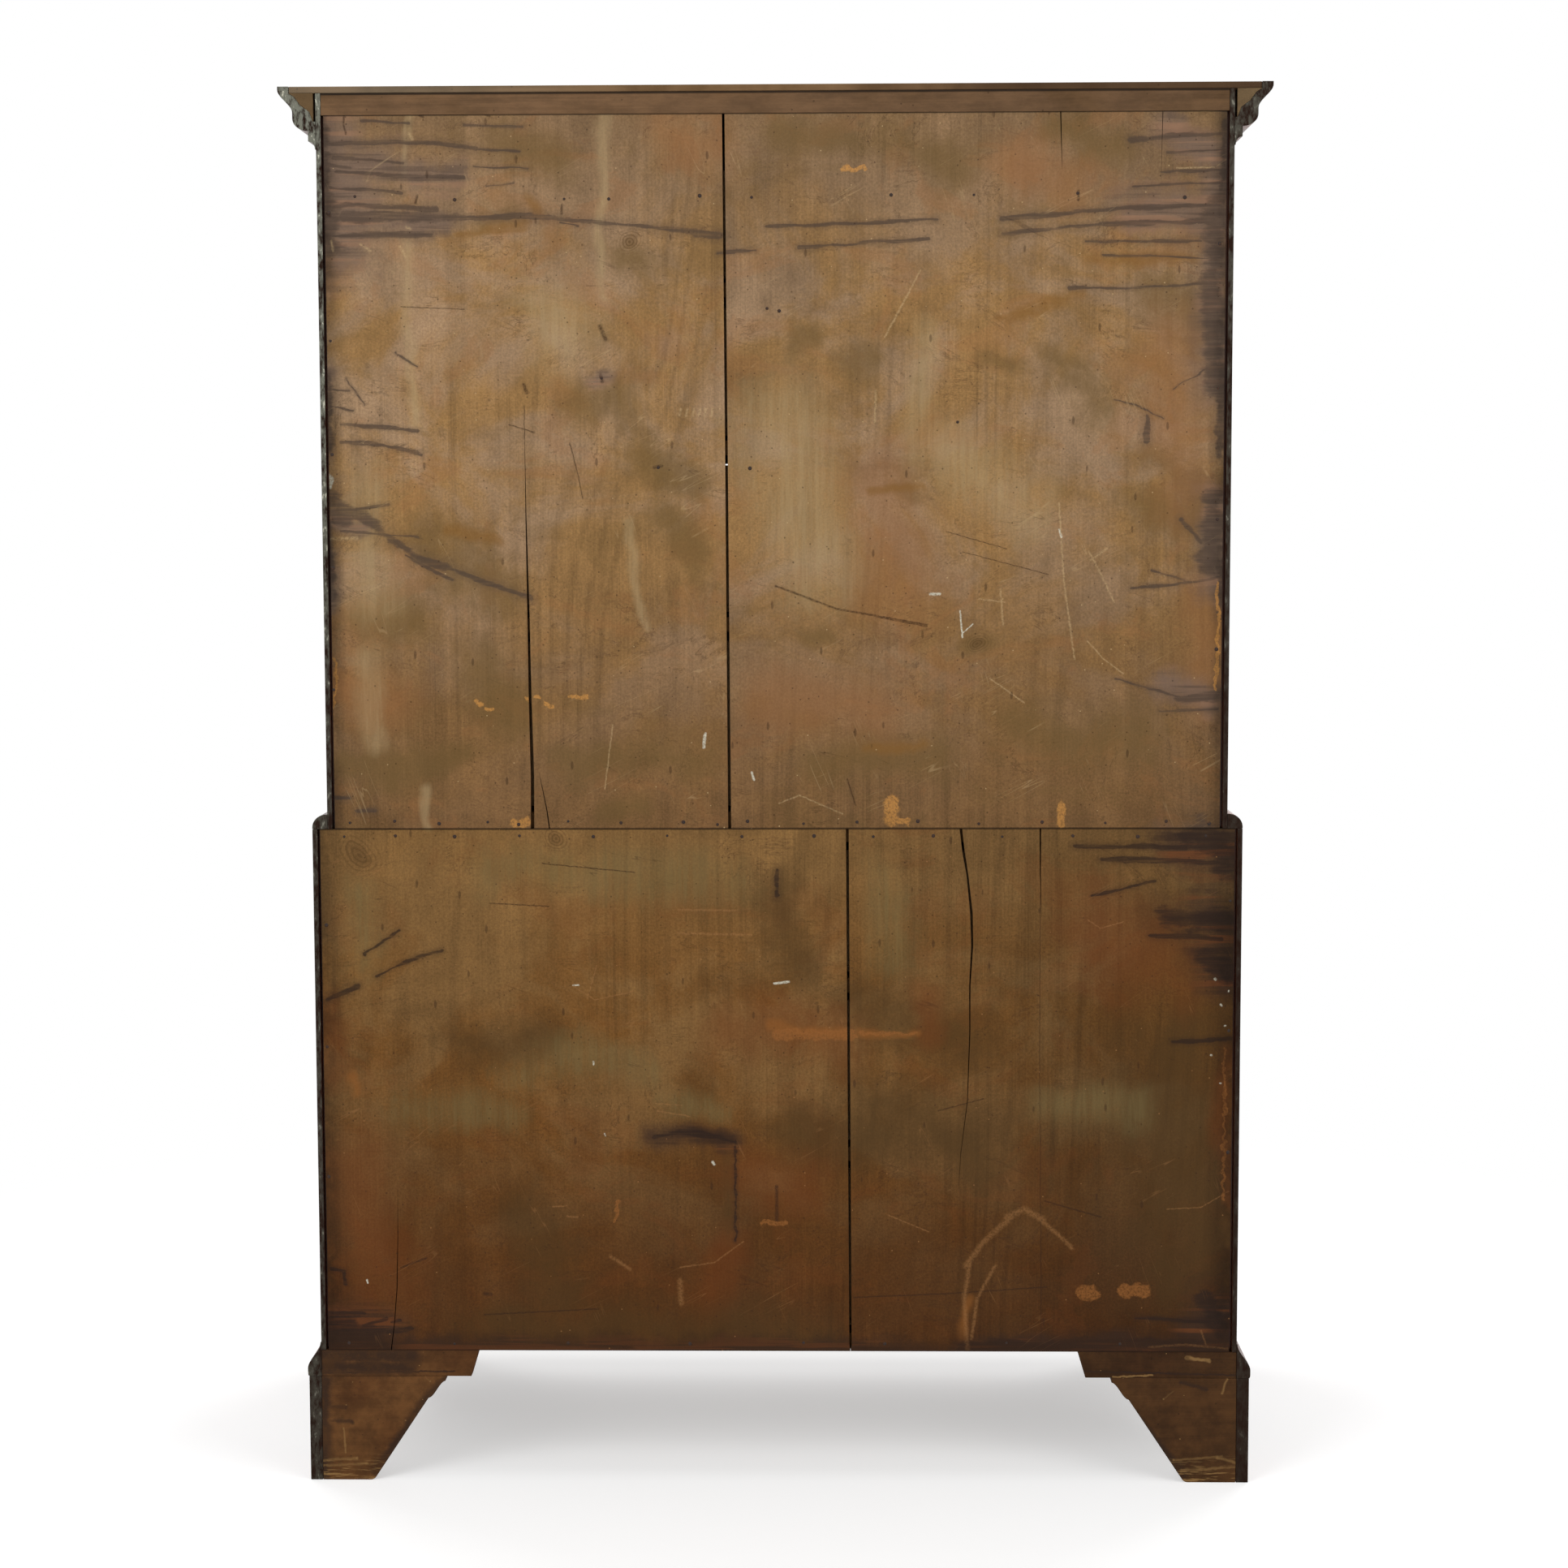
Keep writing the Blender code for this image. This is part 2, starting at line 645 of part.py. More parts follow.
def build_upper_case(finishes):
    case = add_empty("upper_case", (0, 0, UPPER_BOTTOM))
    veneer, pine = finishes["veneer"], finishes["pine"]
    sides = add_sides("upper", UPPER_HALF, UPPER_FRONT, UPPER_BOTTOM, UPPER_TOP, veneer, case)
    inner = UPPER_HALF - SIDE_THICKNESS
    floor = UPPER_BOTTOM + BOTTOM_THICKNESS
    ceiling = UPPER_TOP - FRONT_RAIL_HEIGHT
    add_shelf("upper_bottom_board", sides, UPPER_HALF, UPPER_FRONT, UPPER_BOTTOM, BOTTOM_THICKNESS, pine, case)
    rows = drawer_rows(floor, ceiling, 4)
    add_dividers("upper", rows, sides, UPPER_HALF, UPPER_FRONT, veneer, case)

    rail_half = inner - FIT
    rail_back = UPPER_FRONT + FRONT_RAIL_THICKNESS
    add_box("front_top_rail", (-rail_half, UPPER_FRONT, ceiling), (rail_half, rail_back, UPPER_TOP), veneer, case)
    rear_half = UPPER_HALF - SIDE_LIP - FIT
    rear_low = UPPER_TOP - REAR_RAIL_HEIGHT
    add_box("rear_top_rail", (-rear_half, BOARD_FRONT, rear_low), (rear_half, BOARD_BACK, UPPER_TOP), pine, case)
    top_reach = CORNICE_CORE_REACH - FIT
    add_box(
        "top_board",
        (-UPPER_HALF - top_reach, UPPER_FRONT - top_reach, UPPER_TOP + FIT),
        (UPPER_HALF + top_reach, BACK, TOP),
        pine,
        case,
    )
    short_low, short_height = rows[0]
    half_partition = DIVIDER_THICKNESS / 2
    add_box(
        "short_drawer_partition",
        (-half_partition, UPPER_FRONT, short_low + FIT),
        (half_partition, SHELF_BACK, short_low + short_height - FIT),
        veneer,
        case,
    )

    edge = UPPER_HALF - SIDE_LIP - SIDE_GROOVE
    joint = JOINT_GAP / 2
    split = SPLIT_GAP / 2
    high = rear_low - FIT
    left_edges = (-edge, -edge)
    joint_left = (UPPER_JOINT_BOTTOM - joint, UPPER_JOINT_TOP - joint)
    joint_right = (UPPER_JOINT_BOTTOM + joint, UPPER_JOINT_TOP + joint)
    split_left = (UPPER_SPLIT_BOTTOM - split, UPPER_SPLIT_TOP - FIT / 2)
    split_right = (UPPER_SPLIT_BOTTOM + split, UPPER_SPLIT_TOP + FIT / 2)
    add_backboard("upper_backboard_left", left_edges, joint_left, UPPER_BOTTOM, high, pine, case)
    add_backboard("upper_backboard_middle", joint_right, split_left, UPPER_BOTTOM, high, pine, case)
    add_backboard("upper_backboard_right", split_right, (edge, edge), UPPER_BOTTOM, high, pine, case)

    add_moulding("cornice", cornice_profile(), UPPER_HALF, UPPER_FRONT, veneer, case)
    short_width = inner - half_partition
    for label, turn in (("left", -1), ("right", 1)):
        middle = turn * (half_partition + short_width / 2)
        name = f"short_drawer_{label}"
        add_drawer(name, middle, short_width, *rows[0], UPPER_FRONT, [("pull", 0)], finishes, case)
    add_case_drawers("upper", rows[1:], UPPER_HALF, UPPER_FRONT, finishes, case)


def main():
    clear_scene()
    finishes = {
        "veneer": add_material("mahogany", (0.075, 0.026, 0.011), 0.38),
        "pine": add_material("old_pine", (0.205, 0.115, 0.050), 0.82),
        "lining": add_material("oak_lining", (0.300, 0.185, 0.090), 0.75),
        "brass": add_material("brass", (0.560, 0.360, 0.120), 0.34, 1.0),
    }
    build_lower_case(finishes)
    build_upper_case(finishes)


main()
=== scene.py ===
"""Finishes, mouldings, drawers and fittings of a chest on chest, and the studio it stands in.

Everything is in metres with +Z up. The front faces -Y and the back, which the camera sees, faces +Y.
Marks on the back are placed by their pixels in the photograph.
"""

import json
import math

import bmesh
import bpy
from bpy.props import FloatProperty, FloatVectorProperty, PointerProperty
from bpy.types import Operator, Panel, PropertyGroup
from mathutils import Matrix, Vector

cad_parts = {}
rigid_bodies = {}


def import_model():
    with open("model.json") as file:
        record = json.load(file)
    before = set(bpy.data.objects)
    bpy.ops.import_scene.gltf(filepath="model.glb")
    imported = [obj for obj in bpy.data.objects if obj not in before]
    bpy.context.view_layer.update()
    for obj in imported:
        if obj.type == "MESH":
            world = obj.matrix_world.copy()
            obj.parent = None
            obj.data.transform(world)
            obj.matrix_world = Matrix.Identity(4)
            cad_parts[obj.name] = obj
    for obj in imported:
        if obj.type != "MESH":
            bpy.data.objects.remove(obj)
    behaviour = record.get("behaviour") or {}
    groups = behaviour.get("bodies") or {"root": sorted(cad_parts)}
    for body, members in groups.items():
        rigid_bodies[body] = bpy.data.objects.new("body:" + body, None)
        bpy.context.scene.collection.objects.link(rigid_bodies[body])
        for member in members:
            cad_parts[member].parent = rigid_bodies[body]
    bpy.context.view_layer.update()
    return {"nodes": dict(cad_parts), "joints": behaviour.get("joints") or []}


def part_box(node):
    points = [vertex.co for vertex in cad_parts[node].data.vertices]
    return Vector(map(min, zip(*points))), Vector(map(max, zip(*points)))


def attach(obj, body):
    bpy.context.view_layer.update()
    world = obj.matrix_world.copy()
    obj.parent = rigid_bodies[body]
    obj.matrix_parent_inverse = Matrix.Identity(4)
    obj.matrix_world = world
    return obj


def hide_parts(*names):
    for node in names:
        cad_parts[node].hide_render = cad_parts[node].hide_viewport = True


bl_info = {
    "name": "Chest on chest",
    "version": (1, 0, 0),
    "blender": (4, 5, 0),
    "location": "View3D > Sidebar > Chest",
    "description": "Dresses a chest on chest: boards, veneers, mouldings, drawers, pulls and studio",
    "category": "Object",
}

for extra in list(bpy.data.objects):
    bpy.data.objects.remove(extra)
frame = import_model()

# The photograph's frame in pixels, and the camera that took it
PHOTO_SIDE = 1932
SENSOR = 36.0
CAMERA_FOCAL = 3572.3
CAMERA_PLACE = Vector((-0.0782, 3.88875, 1.2137))
CAMERA_YAW = 0.01891948
CAMERA_PITCH = 0.08913492
CAMERA_ROLL = -0.00284251

# Clearances
FIT = 0.0003
HAIR = 0.0002

# Wear on edges: how far each kind of piece is rounded, and what counts as an edge
BOARD_WEAR = 0.0008
BLOCK_WEAR = 0.0010
OAK_WEAR = 0.0006
FLOOR_WEAR = 0.0004
LOCK_WEAR = 0.0005
WORN_ANGLE = math.radians(35)
WELD_GAP = 0.00002

# Seams and nails in the backboards, mahogany glued to the shelves' fronts, and the planks of the top
NAIL_DEPTH = 0.0010
SEAM_BLUR = 0.0006
SHELF_FACING = 0.0290
FACING_BLUR = 0.0010
PLANK_SHARES = (0.34, 0.37, 0.29)
PLANK_GAP = 0.0012

# How far a backboard's tones reach from its ends, partly its own tone and partly painted shade, where its
# border begins, where the painted shadow lines along its top and foot lie, and the dirt at its foot
TOP_TONE = 0.24
FOOT_TONE = 0.46
BORDER_START = 0.530
EDGE_SHADOW_LINE = (0.0004, 0.0018)
DIRT_RISE = (0.006, 0.030)

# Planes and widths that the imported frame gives
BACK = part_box("upper_side_left")[1].y
LOWER_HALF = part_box("lower_side_right")[1].x
LOWER_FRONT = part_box("lower_side_right")[0].y
LOWER_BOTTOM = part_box("lower_side_right")[0].z
LOWER_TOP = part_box("lower_side_right")[1].z
UPPER_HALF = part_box("upper_side_right")[1].x
UPPER_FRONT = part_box("upper_side_right")[0].y
UPPER_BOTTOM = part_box("upper_side_right")[0].z
UPPER_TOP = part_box("upper_side_right")[1].z
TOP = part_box("top_board")[1].z
BOARD_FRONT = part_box("upper_backboard_left")[0].y
BOARD_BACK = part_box("upper_backboard_left")[1].y
UPPER_BOARD_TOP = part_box("upper_backboard_left")[1].z
UPPER_BOARD_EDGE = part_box("upper_backboard_right")[1].x
LOWER_BOARD_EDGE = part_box("lower_backboard_right")[1].x

# Mouldings, with the same members as the solids but rounder
BASE_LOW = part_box("base_moulding")[0].z
BASE_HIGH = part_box("base_moulding")[1].z
BASE_PROJECTION = 0.0175
BASE_NOSE = 0.0100
BASE_QUIRK = 0.0010
FOOT_OUT = 0.0160
WAIST_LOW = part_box("waist_moulding")[0].z
WAIST_RISE = 0.0180
WAIST_STEP = 0.0190
WAIST_FILLET = 0.0018
CORNICE_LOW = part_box("cornice")[0].z
CORNICE_BEAD_REACH = 0.0095
CORNICE_COVE_REACH = 0.0083
CORNICE_COVE_RISE = 0.0098
CORNICE_BEAD = 0.0125
CORNICE_OVOLO_REACH = 0.0190
CORNICE_OVOLO_RISE = 0.0145
CORNICE_BAND = 0.0075
CORNICE_BAND_REACH = 0.0285
CORNICE_OGEE_RISE = 0.0275
CORNICE_PROJECTION = 0.0465

# The softwood core behind the cornice's facing: how far it reaches from the case, at each height
CORE_GAP = 0.0030
CORE_EDGE = [(0.0330, 1.7417), (0.0257, 1.7371), (0.0187, 1.7272), (0.0078, 1.7193), (0.0035, 1.7074)]

# Feet
FOOT_HEIGHT = 0.1352
FOOT_LENGTH = 0.1740
FOOT_TOE = 0.0810
FOOT_TOE_RADIUS = 0.0090
FOOT_SHOULDER = 0.0220
SHOULDER_STEPS = 12
FOOT_LIP = 0.0060
FRONT_BRACKET = 0.0220
SIDE_BRACKET = 0.0155
FOOT_BLOCK = 0.0450
BLOCK_LIFT = 0.0040
BATTEN_DEPTH = 0.0180

# Drawers
FRONT_THICKNESS = 0.0200
DRAWER_SIDE = 0.0100
TAIL_PITCH = 0.0380
TAIL_WIDE = 0.42
TAIL_NARROW = 0.30
BACK_DROP = 0.0060
DRAWER_FLOOR = 0.0080
DRAWER_FLOOR_LIFT = 0.0060
FLOOR_GAP = 0.0005
WIDE_DRAWER = 0.70
SLIP_WIDTH = 0.0120
SLIP_START = 0.0020
SLIP_END = 0.0040

# Keyholes with their rims, and the locks behind them
KEYHOLE_RAISE = 0.0120
KEYHOLE_ARC = (-55, 235)
KEYHOLE_FLARE = 0.75
KEYHOLE_DROP = 3.4
KEYHOLE_START = 0.0050
KEYHOLE_DEPTH = 0.0090
RIM = 0.0012
RIM_STAND = 0.0003
RIM_DEPTH = 0.0010
LOCK_HALF = 0.0320
LOCK_DEPTH = 0.0070
LOCK_BELOW = 0.0200
LOCK_ABOVE = 0.0240
LOCK_MARGIN = 0.0040
SCREW_ASIDE = 0.0270
SCREW_BELOW = 0.0140
SCREW_DROP = 0.0060
SCREW_HEAD = [(0.0026, -0.0010), (0.0026, 0.0006), (0.0012, 0.0009)]

# Pulls: the bail's line, and the post's radii at distances from the drawer's face
POST_SPACING = 0.0760
PULL_REACH = 0.0172
PIN_RADIUS = 0.0021
PIN_END = 0.0012
GRIP_RADIUS = 0.0030
SHOULDER_GAP = 0.0010
SHOULDER_SOFT = 0.0020
ELBOW = 0.0032
NECK_IN = 0.0100
NECK_FALL = 0.0190
BAIL_CORNER = 0.0140
BAIL_DROP = 0.0340
POMMEL_RADIUS = 0.0062
POMMEL_LENGTH = 0.0090
POMMEL_ARC = (-48, 82)
ROSE_RADIUS = 0.0110
ROSE_EDGE = [(0.0, 0.0005), (0.0, -0.0006), (0.0008, -0.0014), (0.0022, -0.0016), (0.0030, -0.0010)]
POST_NECK = [(0.0064, -0.0012), (0.0052, -0.0022), (0.0040, -0.0034), (0.0034, -0.0060), (0.0034, -0.0090)]
POST_COLLAR = [(0.0044, -0.0102), (0.0050, -0.0112), (0.0044, -0.0122)]

# Studio
CHEST_MIDDLE = 0.9
FLOOR_GREY = 0.62
FLOOR_GLOW = 0.48
SHADOW_FADE = (0.9, 2.0)

# The drawers by name, and the hinges of their pulls
DRAWERS = sorted(name[: -len("_front")] for name in frame["nodes"] if name.endswith("_front"))
PULLS = [joint for joint in frame["joints"] if "_pull" in joint["name"]]


def tone(red, green, blue):
    """A colour as a screen shows it, out of 255, turned into the light it stands for."""
    linear = []
    for value in (red, green, blue):
        share = value / 255
        linear.append(share / 12.92 if share <= 0.04045 else ((share + 0.055) / 1.055) ** 2.4)
    return tuple(linear)


# Colours that no slider changes
PINE_HOLES = tone(48, 32, 20)
OAK_RAYS = tone(186, 156, 112)
OAK_DIRT = tone(98, 70, 42)
RUST = tone(74, 46, 28)

# Joints and cracks in the backboards: points across and down in the photograph, with the gap in millimetres
UPPER_JOINT = [(891, 139, 3.2), (895, 560, 3.4), (899, 1021, 3.8)]
LOWER_JOINT = [(1044, 1024, 3.6), (1048, 1657, 3.0), (1048, 1664, 0.4)]
UPPER_BOTTOM_CRACKS = {
    "long split": [
        (656, 1021, 4.6), (656, 960, 4.4), (653, 860, 3.8), (651, 760, 3.0), (648, 640, 1.3), (646, 526, 0.2),
    ],
    "curved crack": [(677, 1021, 1.6), (674, 1000, 1.3), (669, 975, 1.0), (664, 952, 0.2)],
}
UPPER_TOP_CRACKS = {
    "top crack": [(1307, 139, 1.4), (1308, 175, 1.0), (1309, 208, 0.2)],
    "top hairline": [(1433, 139, 0.8), (1431, 212, 0.2)],
}
LOWER_TOP_CRACKS = {
    "long crack": [
        (1184, 1024, 3.4), (1187, 1048, 3.2), (1192, 1078, 2.4), (1197, 1125, 3.4), (1198, 1165, 2.6),
        (1195, 1215, 1.8), (1195, 1272, 1.4), (1192, 1357, 0.9), (1184, 1420, 0.6), (1181, 1466, 0.2),
    ],
    "short crack": [(1282, 1024, 2.2), (1282, 1075, 1.4), (1283, 1130, 0.2)],
}
LOWER_BOTTOM_CRACKS = {
    "hairline": [(482, 1664, 1.3), (486, 1630, 1.0), (489, 1588, 1.2), (490, 1530, 0.8), (490, 1460, 0.2)],
}

# Nails, across and down in the photograph
UPPER_NAILS = {
    "along the bottom": [
        (431, 1014), (486, 1012), (541, 1015), (601, 1013), (639, 1016), (700, 1012), (765, 1014),
        (842, 1013), (884, 1016), (921, 1012), (990, 1015), (1056, 1013), (1131, 1012), (1206, 1015),
        (1284, 1013), (1362, 1014), (1437, 1012), (1490, 1015),
    ],
    "into the dividers": [
        (437, 242), (560, 246), (695, 245), (750, 245), (862, 241), (926, 243), (1098, 240), (1200, 240),
        (1328, 238), (1460, 243), (945, 380), (960, 383), (741, 466), (811, 576), (924, 577), (1180, 520),
    ],
    "down the sides": [
        (405, 262), (407, 420), (409, 560), (410, 700), (411, 850), (1503, 300), (1501, 478), (1500, 640),
        (1499, 800),
    ],
}
LOWER_NAILS = {
    "along the top": [
        (424, 1031), (487, 1030), (560, 1031), (640, 1030), (731, 1031), (822, 1030), (914, 1031),
        (1003, 1030), (1076, 1031), (1150, 1030), (1235, 1031), (1322, 1030), (1402, 1031), (1486, 1030),
    ],
    "along the bottom": [
        (430, 1655), (560, 1656), (700, 1655), (850, 1656), (990, 1655), (1090, 1656), (1240, 1655),
        (1380, 1656),
    ],
    "down the sides": [(402, 1140), (403, 1290), (405, 1450), (1516, 1110), (1514, 1270), (1513, 1420)],
}

# Marks: a width, then the points across and down that it runs through, all in pixels of the photograph
INK = {
    "under the rail": (5, (446, 150), (470, 149), (504, 152)),
    "under the rail beyond": (4, (572, 154), (610, 155), (645, 156)),
    "second stroke": (7, (404, 177), (470, 175), (532, 176), (586, 183)),
    "second stroke end": (3, (586, 184), (640, 186)),
    "third stroke": (7, (410, 193), (450, 197), (497, 200)),
    "third stroke start": (6, (401, 203), (432, 206)),
    "third stroke beyond": (4, (584, 205), (632, 206), (650, 208)),
    "fourth stroke": (6, (414, 212), (480, 216), (530, 218), (570, 219)),
    "fifth stroke": (6, (403, 231), (450, 233), (494, 237)),
    "fifth stroke beyond": (3, (600, 229), (618, 228), (633, 226)),
    "wide stroke": (9, (400, 256), (430, 252), (480, 256), (537, 258)),
    "widest stroke": (17, (424, 267), (500, 267), (560, 269)),
    "long stroke": (9, (552, 271), (600, 268), (640, 265), (680, 268), (715, 272), (780, 277), (892, 290)),
    "long stroke fork": (4, (690, 273), (713, 279)),
    "long stroke end": (13, (858, 288), (886, 291)),
    "dash at the joint": (6, (884, 311), (932, 308)),
    "left short stroke": (10, (410, 291), (470, 290), (531, 290)),
    "left corner mass": (44, (398, 250), (404, 300)),
    "upper edge mass": (26, (396, 150), (398, 240)),
    "twin stroke": (5, (420, 524), (470, 526), (515, 531)),
    "lower twin": (6, (420, 545), (470, 547), (520, 560)),
    "edge comb": (20, (402, 466), (406, 552)),
    "comb tooth": (4, (404, 480), (430, 482)),
    "comb tooth below": (4, (404, 500), (436, 506)),
    "leaning dash": (3, (426, 466), (450, 499)),
    "leaning dash right": (3, (488, 435), (515, 453)),
    "smear head": (34, (400, 612), (424, 640)),
    "smear": (19, (410, 622), (446, 636), (482, 664)),
    "smear middle": (15, (476, 658), (512, 686), (548, 699)),
    "smear tail": (9, (540, 694), (580, 711), (616, 724), (655, 738)),
    "smear branch": (6, (500, 684), (530, 702), (556, 714)),
    "green dash": (5, (420, 655), (470, 658), (515, 662)),
    "dash over smear": (5, (430, 628), (478, 621)),
    "edge below smear": (18, (404, 650), (408, 735)),
    "right long stroke": (6, (945, 279), (1050, 276), (1155, 270)),
    "right second stroke": (6, (985, 305), (1060, 299), (1145, 294)),
    "right third stroke": (7, (1235, 269), (1330, 261), (1415, 255), (1500, 252)),
    "right fourth stroke": (8, (1235, 287), (1300, 282), (1350, 276), (1490, 272)),
    "right fifth stroke": (5, (1338, 297), (1480, 298)),
    "right thin stroke": (4, (1360, 314), (1490, 318)),
    "right lower stroke": (5, (1318, 354), (1400, 355), (1484, 350)),
    "corner stroke": (10, (1394, 173), (1440, 168), (1512, 164)),
    "corner stroke below": (4, (1438, 187), (1512, 184)),
    "corner third": (4, (1430, 212), (1510, 209)),
    "corner fourth": (5, (1397, 229), (1440, 227), (1508, 224)),
    "right edge top": (16, (1510, 150), (1508, 250)),
    "right edge band": (40, (1500, 250), (1494, 340), (1496, 470)),
    "right edge band below": (15, (1505, 460), (1503, 560)),
    "right edge clot": (40, (1494, 612), (1492, 700)),
    "clot fringe": (10, (1455, 640), (1480, 668)),
    "right edge tail": (12, (1506, 700), (1504, 760)),
    "hooked stroke": (3, (1374, 493), (1400, 500), (1434, 515)),
    "hook drop": (9, (1414, 512), (1413, 543)),
    "hook tick": (3, (1446, 479), (1487, 454)),
    "clot stroke": (6, (1394, 724), (1450, 721), (1503, 711)),
    "clot stroke above": (5, (1420, 704), (1460, 716)),
    "low stroke": (4, (1376, 836), (1420, 849), (1456, 861)),
    "low clot": (17, (1452, 862), (1503, 856)),
    "hook under clot": (5, (1428, 876), (1500, 874)),
    "bottom mark": (7, (410, 983), (430, 983)),
    "bottom mark right": (7, (440, 1000), (462, 999)),
    "lower leaning stroke": (5, (449, 1176), (491, 1146)),
    "lower second stroke": (6, (464, 1203), (500, 1185), (544, 1171)),
    "lower edge stroke": (9, (404, 1232), (440, 1216)),
    "lower right stroke": (9, (1323, 1043), (1400, 1044), (1460, 1045)),
    "lower right second": (9, (1359, 1059), (1440, 1060), (1500, 1063)),
    "lower corner": (58, (1478, 1030), (1520, 1062)),
    "lower slanted stroke": (5, (1346, 1104), (1424, 1086)),
    "lower mass": (36, (1436, 1130), (1522, 1136)),
    "lower mass fringe": (8, (1418, 1153), (1505, 1156)),
    "lower second mass": (34, (1484, 1182), (1520, 1200)),
    "lower third mass": (7, (1445, 1283), (1516, 1280)),
    "bottom left clot top": (48, (402, 1632), (432, 1634)),
    "bottom left clot": (56, (402, 1646), (454, 1648)),
    "bottom left clot foot": (44, (402, 1660), (464, 1660)),
    "bottom left top stroke": (9, (406, 1619), (447, 1617)),
    "bottom left finger": (7, (447, 1634), (476, 1625)),
    "bottom left finger beyond": (5, (482, 1628), (494, 1627)),
    "bottom left finger below": (7, (478, 1642), (507, 1637)),
    "left loop": (7, (408, 1563), (424, 1566), (425, 1582)),
    "bottom right band": (26, (1190, 1661), (1350, 1659), (1508, 1659)),
    "bottom right clot": (34, (1484, 1600), (1512, 1650)),
    "bottom right stroke": (6, (1400, 1624), (1500, 1630)),
    "scorch": (10, (806, 1402), (835, 1395), (860, 1398), (904, 1406)),
    "scorch edge": (5, (906, 1404), (907, 1529)),
    "red mark": (8, (957, 1072), (957, 1104)),
}
SCRATCHES = {
    "long brown scratch": (4, (956, 722), (1030, 750), (1142, 770)),
    "brown scratch end": (3, (1080, 760), (1142, 772)),
    "left leaning scratch": (2.5, (702, 546), (712, 585), (718, 614)),
    "tick scratch": (2, (494, 378), (572, 381)),
    "tick under the rail": (4, (424, 140), (423, 152), (426, 165)),
    "notch under the rail": (5, (516, 142), (521, 144)),
    "notch beyond": (4, (598, 141), (603, 143)),
    "tick by the fifth stroke": (5, (514, 241), (512, 250)),
    "edge hole": (6, (403, 263), (406, 266)),
    "brown tick": (5, (692, 253), (692, 263)),
    "oval hole": (5, (1329, 235), (1329, 246)),
    "hairline above the split": (2, (646, 500), (646, 540)),
    "tick by the split": (2.5, (627, 523), (658, 533)),
    "slot": (7, (957, 1462), (957, 1506)),
    "lower right scratch": (3, (1287, 1480), (1357, 1500)),
    "bottom scratch": (3, (1052, 1599), (1170, 1594), (1290, 1586)),
    "bottom left scratch": (3, (597, 1620), (738, 1613)),
    "upper thin scratch": (2.5, (604, 1113), (676, 1117)),
    "upper thin scratch right": (2.5, (668, 1064), (782, 1075)),
    "middle right scratch": (2.5, (1156, 1369), (1212, 1354)),
    "short dash": (4, (494, 1562), (526, 1550)),
    "short dark dash": (8, (597, 1594), (605, 1595)),
    "right thin scratch": (2, (1166, 655), (1240, 676)),
    "right thin scratch below": (2, (1186, 680), (1292, 708)),
    "dark hole": (7, (740, 462), (742, 470)),
    "dark holes": (6, (806, 576), (815, 574)),
    "left knot mark": (7, (645, 474), (649, 484)),
    "knot mark right": (8, (739, 402), (746, 418)),
    "bruise line": (3, (1044, 960), (1054, 992)),
    "third line below": (1.6, (1282, 1100), (1281, 1300), (1283, 1655)),
}
PALE = {
    "streak fleck": (6, (504, 165), (508, 171)),
    "left corner fleck 1": (5, (408, 297), (410, 309)),
    "left corner fleck 2": (5, (444, 301), (456, 309)),
    "left corner fleck 3": (6, (493, 304), (500, 316)),
    "pink fleck": (6, (501, 280), (505, 282)),
    "line under the corner": (3, (1450, 207), (1496, 206)),
    "leaning scrape": (4, (1134, 333), (1112, 375), (1090, 415)),
    "upright flake": (5, (1079, 482), (1078, 520)),
    "long pale scratch": (4, (1305, 620), (1311, 716), (1324, 812)),
    "forked scratch": (4, (1342, 680), (1356, 706), (1373, 742)),
    "fork": (4, (1344, 690), (1364, 676)),
    "cross scratch": (3, (1206, 738), (1238, 742)),
    "upright tick": (4, (1233, 726), (1236, 770)),
    "low leaning scratch": (3, (755, 893), (745, 972)),
    "curved scratch": (3, (960, 990), (985, 980), (1038, 1003)),
    "right curved scratch": (3, (1220, 836), (1262, 866)),
    "right stepped scratch": (3, (1340, 790), (1360, 812), (1384, 830)),
    "left lower flake": (7, (404, 664), (440, 663)),
    "arch left": (10, (1192, 1662), (1188, 1600), (1196, 1550)),
    "arch rise": (12, (1190, 1560), (1212, 1530), (1248, 1498)),
    "arch top": (13, (1240, 1500), (1262, 1490), (1285, 1503)),
    "arch right": (9, (1278, 1500), (1302, 1520), (1321, 1538)),
    "arch inner": (7, (1197, 1650), (1204, 1600), (1226, 1560)),
    "pale line": (4, (836, 1121), (908, 1122)),
    "pale line below": (5, (836, 1150), (925, 1152)),
    "left short scrape": (3, (681, 1487), (698, 1486)),
    "left short scrape below": (4, (699, 1499), (712, 1500)),
    "haze line": (2.5, (808, 1360), (840, 1362)),
    "haze line below": (3, (810, 1369), (850, 1376)),
    "leaning pale line": (3, (1094, 1497), (1144, 1518)),
    "hooked scratch": (2.5, (1340, 1133), (1356, 1144), (1384, 1136)),
    "right edge curl": (2.5, (1438, 1490), (1480, 1488), (1514, 1468)),
    "left curve": (2.5, (706, 1215), (733, 1232), (780, 1222)),
    "left leaning line": (2.5, (724, 1230), (735, 1190)),
    "middle curve": (3, (838, 1562), (880, 1556), (916, 1530)),
    "lower flake": (11, (838, 1578), (839, 1606)),
    "left smear": (8, (752, 1548), (776, 1564)),
    "bottom right scrape": (5, (1416, 1660), (1460, 1657), (1512, 1662)),
    "bottom right flick": (4, (1480, 1640), (1487, 1660)),
    "chip tick 1": (5, (839, 504), (837, 512)),
    "chip tick 2": (5, (847, 504), (845, 512)),
    "chip tick 3": (5, (855, 504), (853, 512)),
    "chip tick 4": (5, (863, 504), (861, 512)),
    "chip tick 5": (5, (870, 504), (868, 512)),
    "chip tick 6": (5, (878, 504), (876, 512)),
}
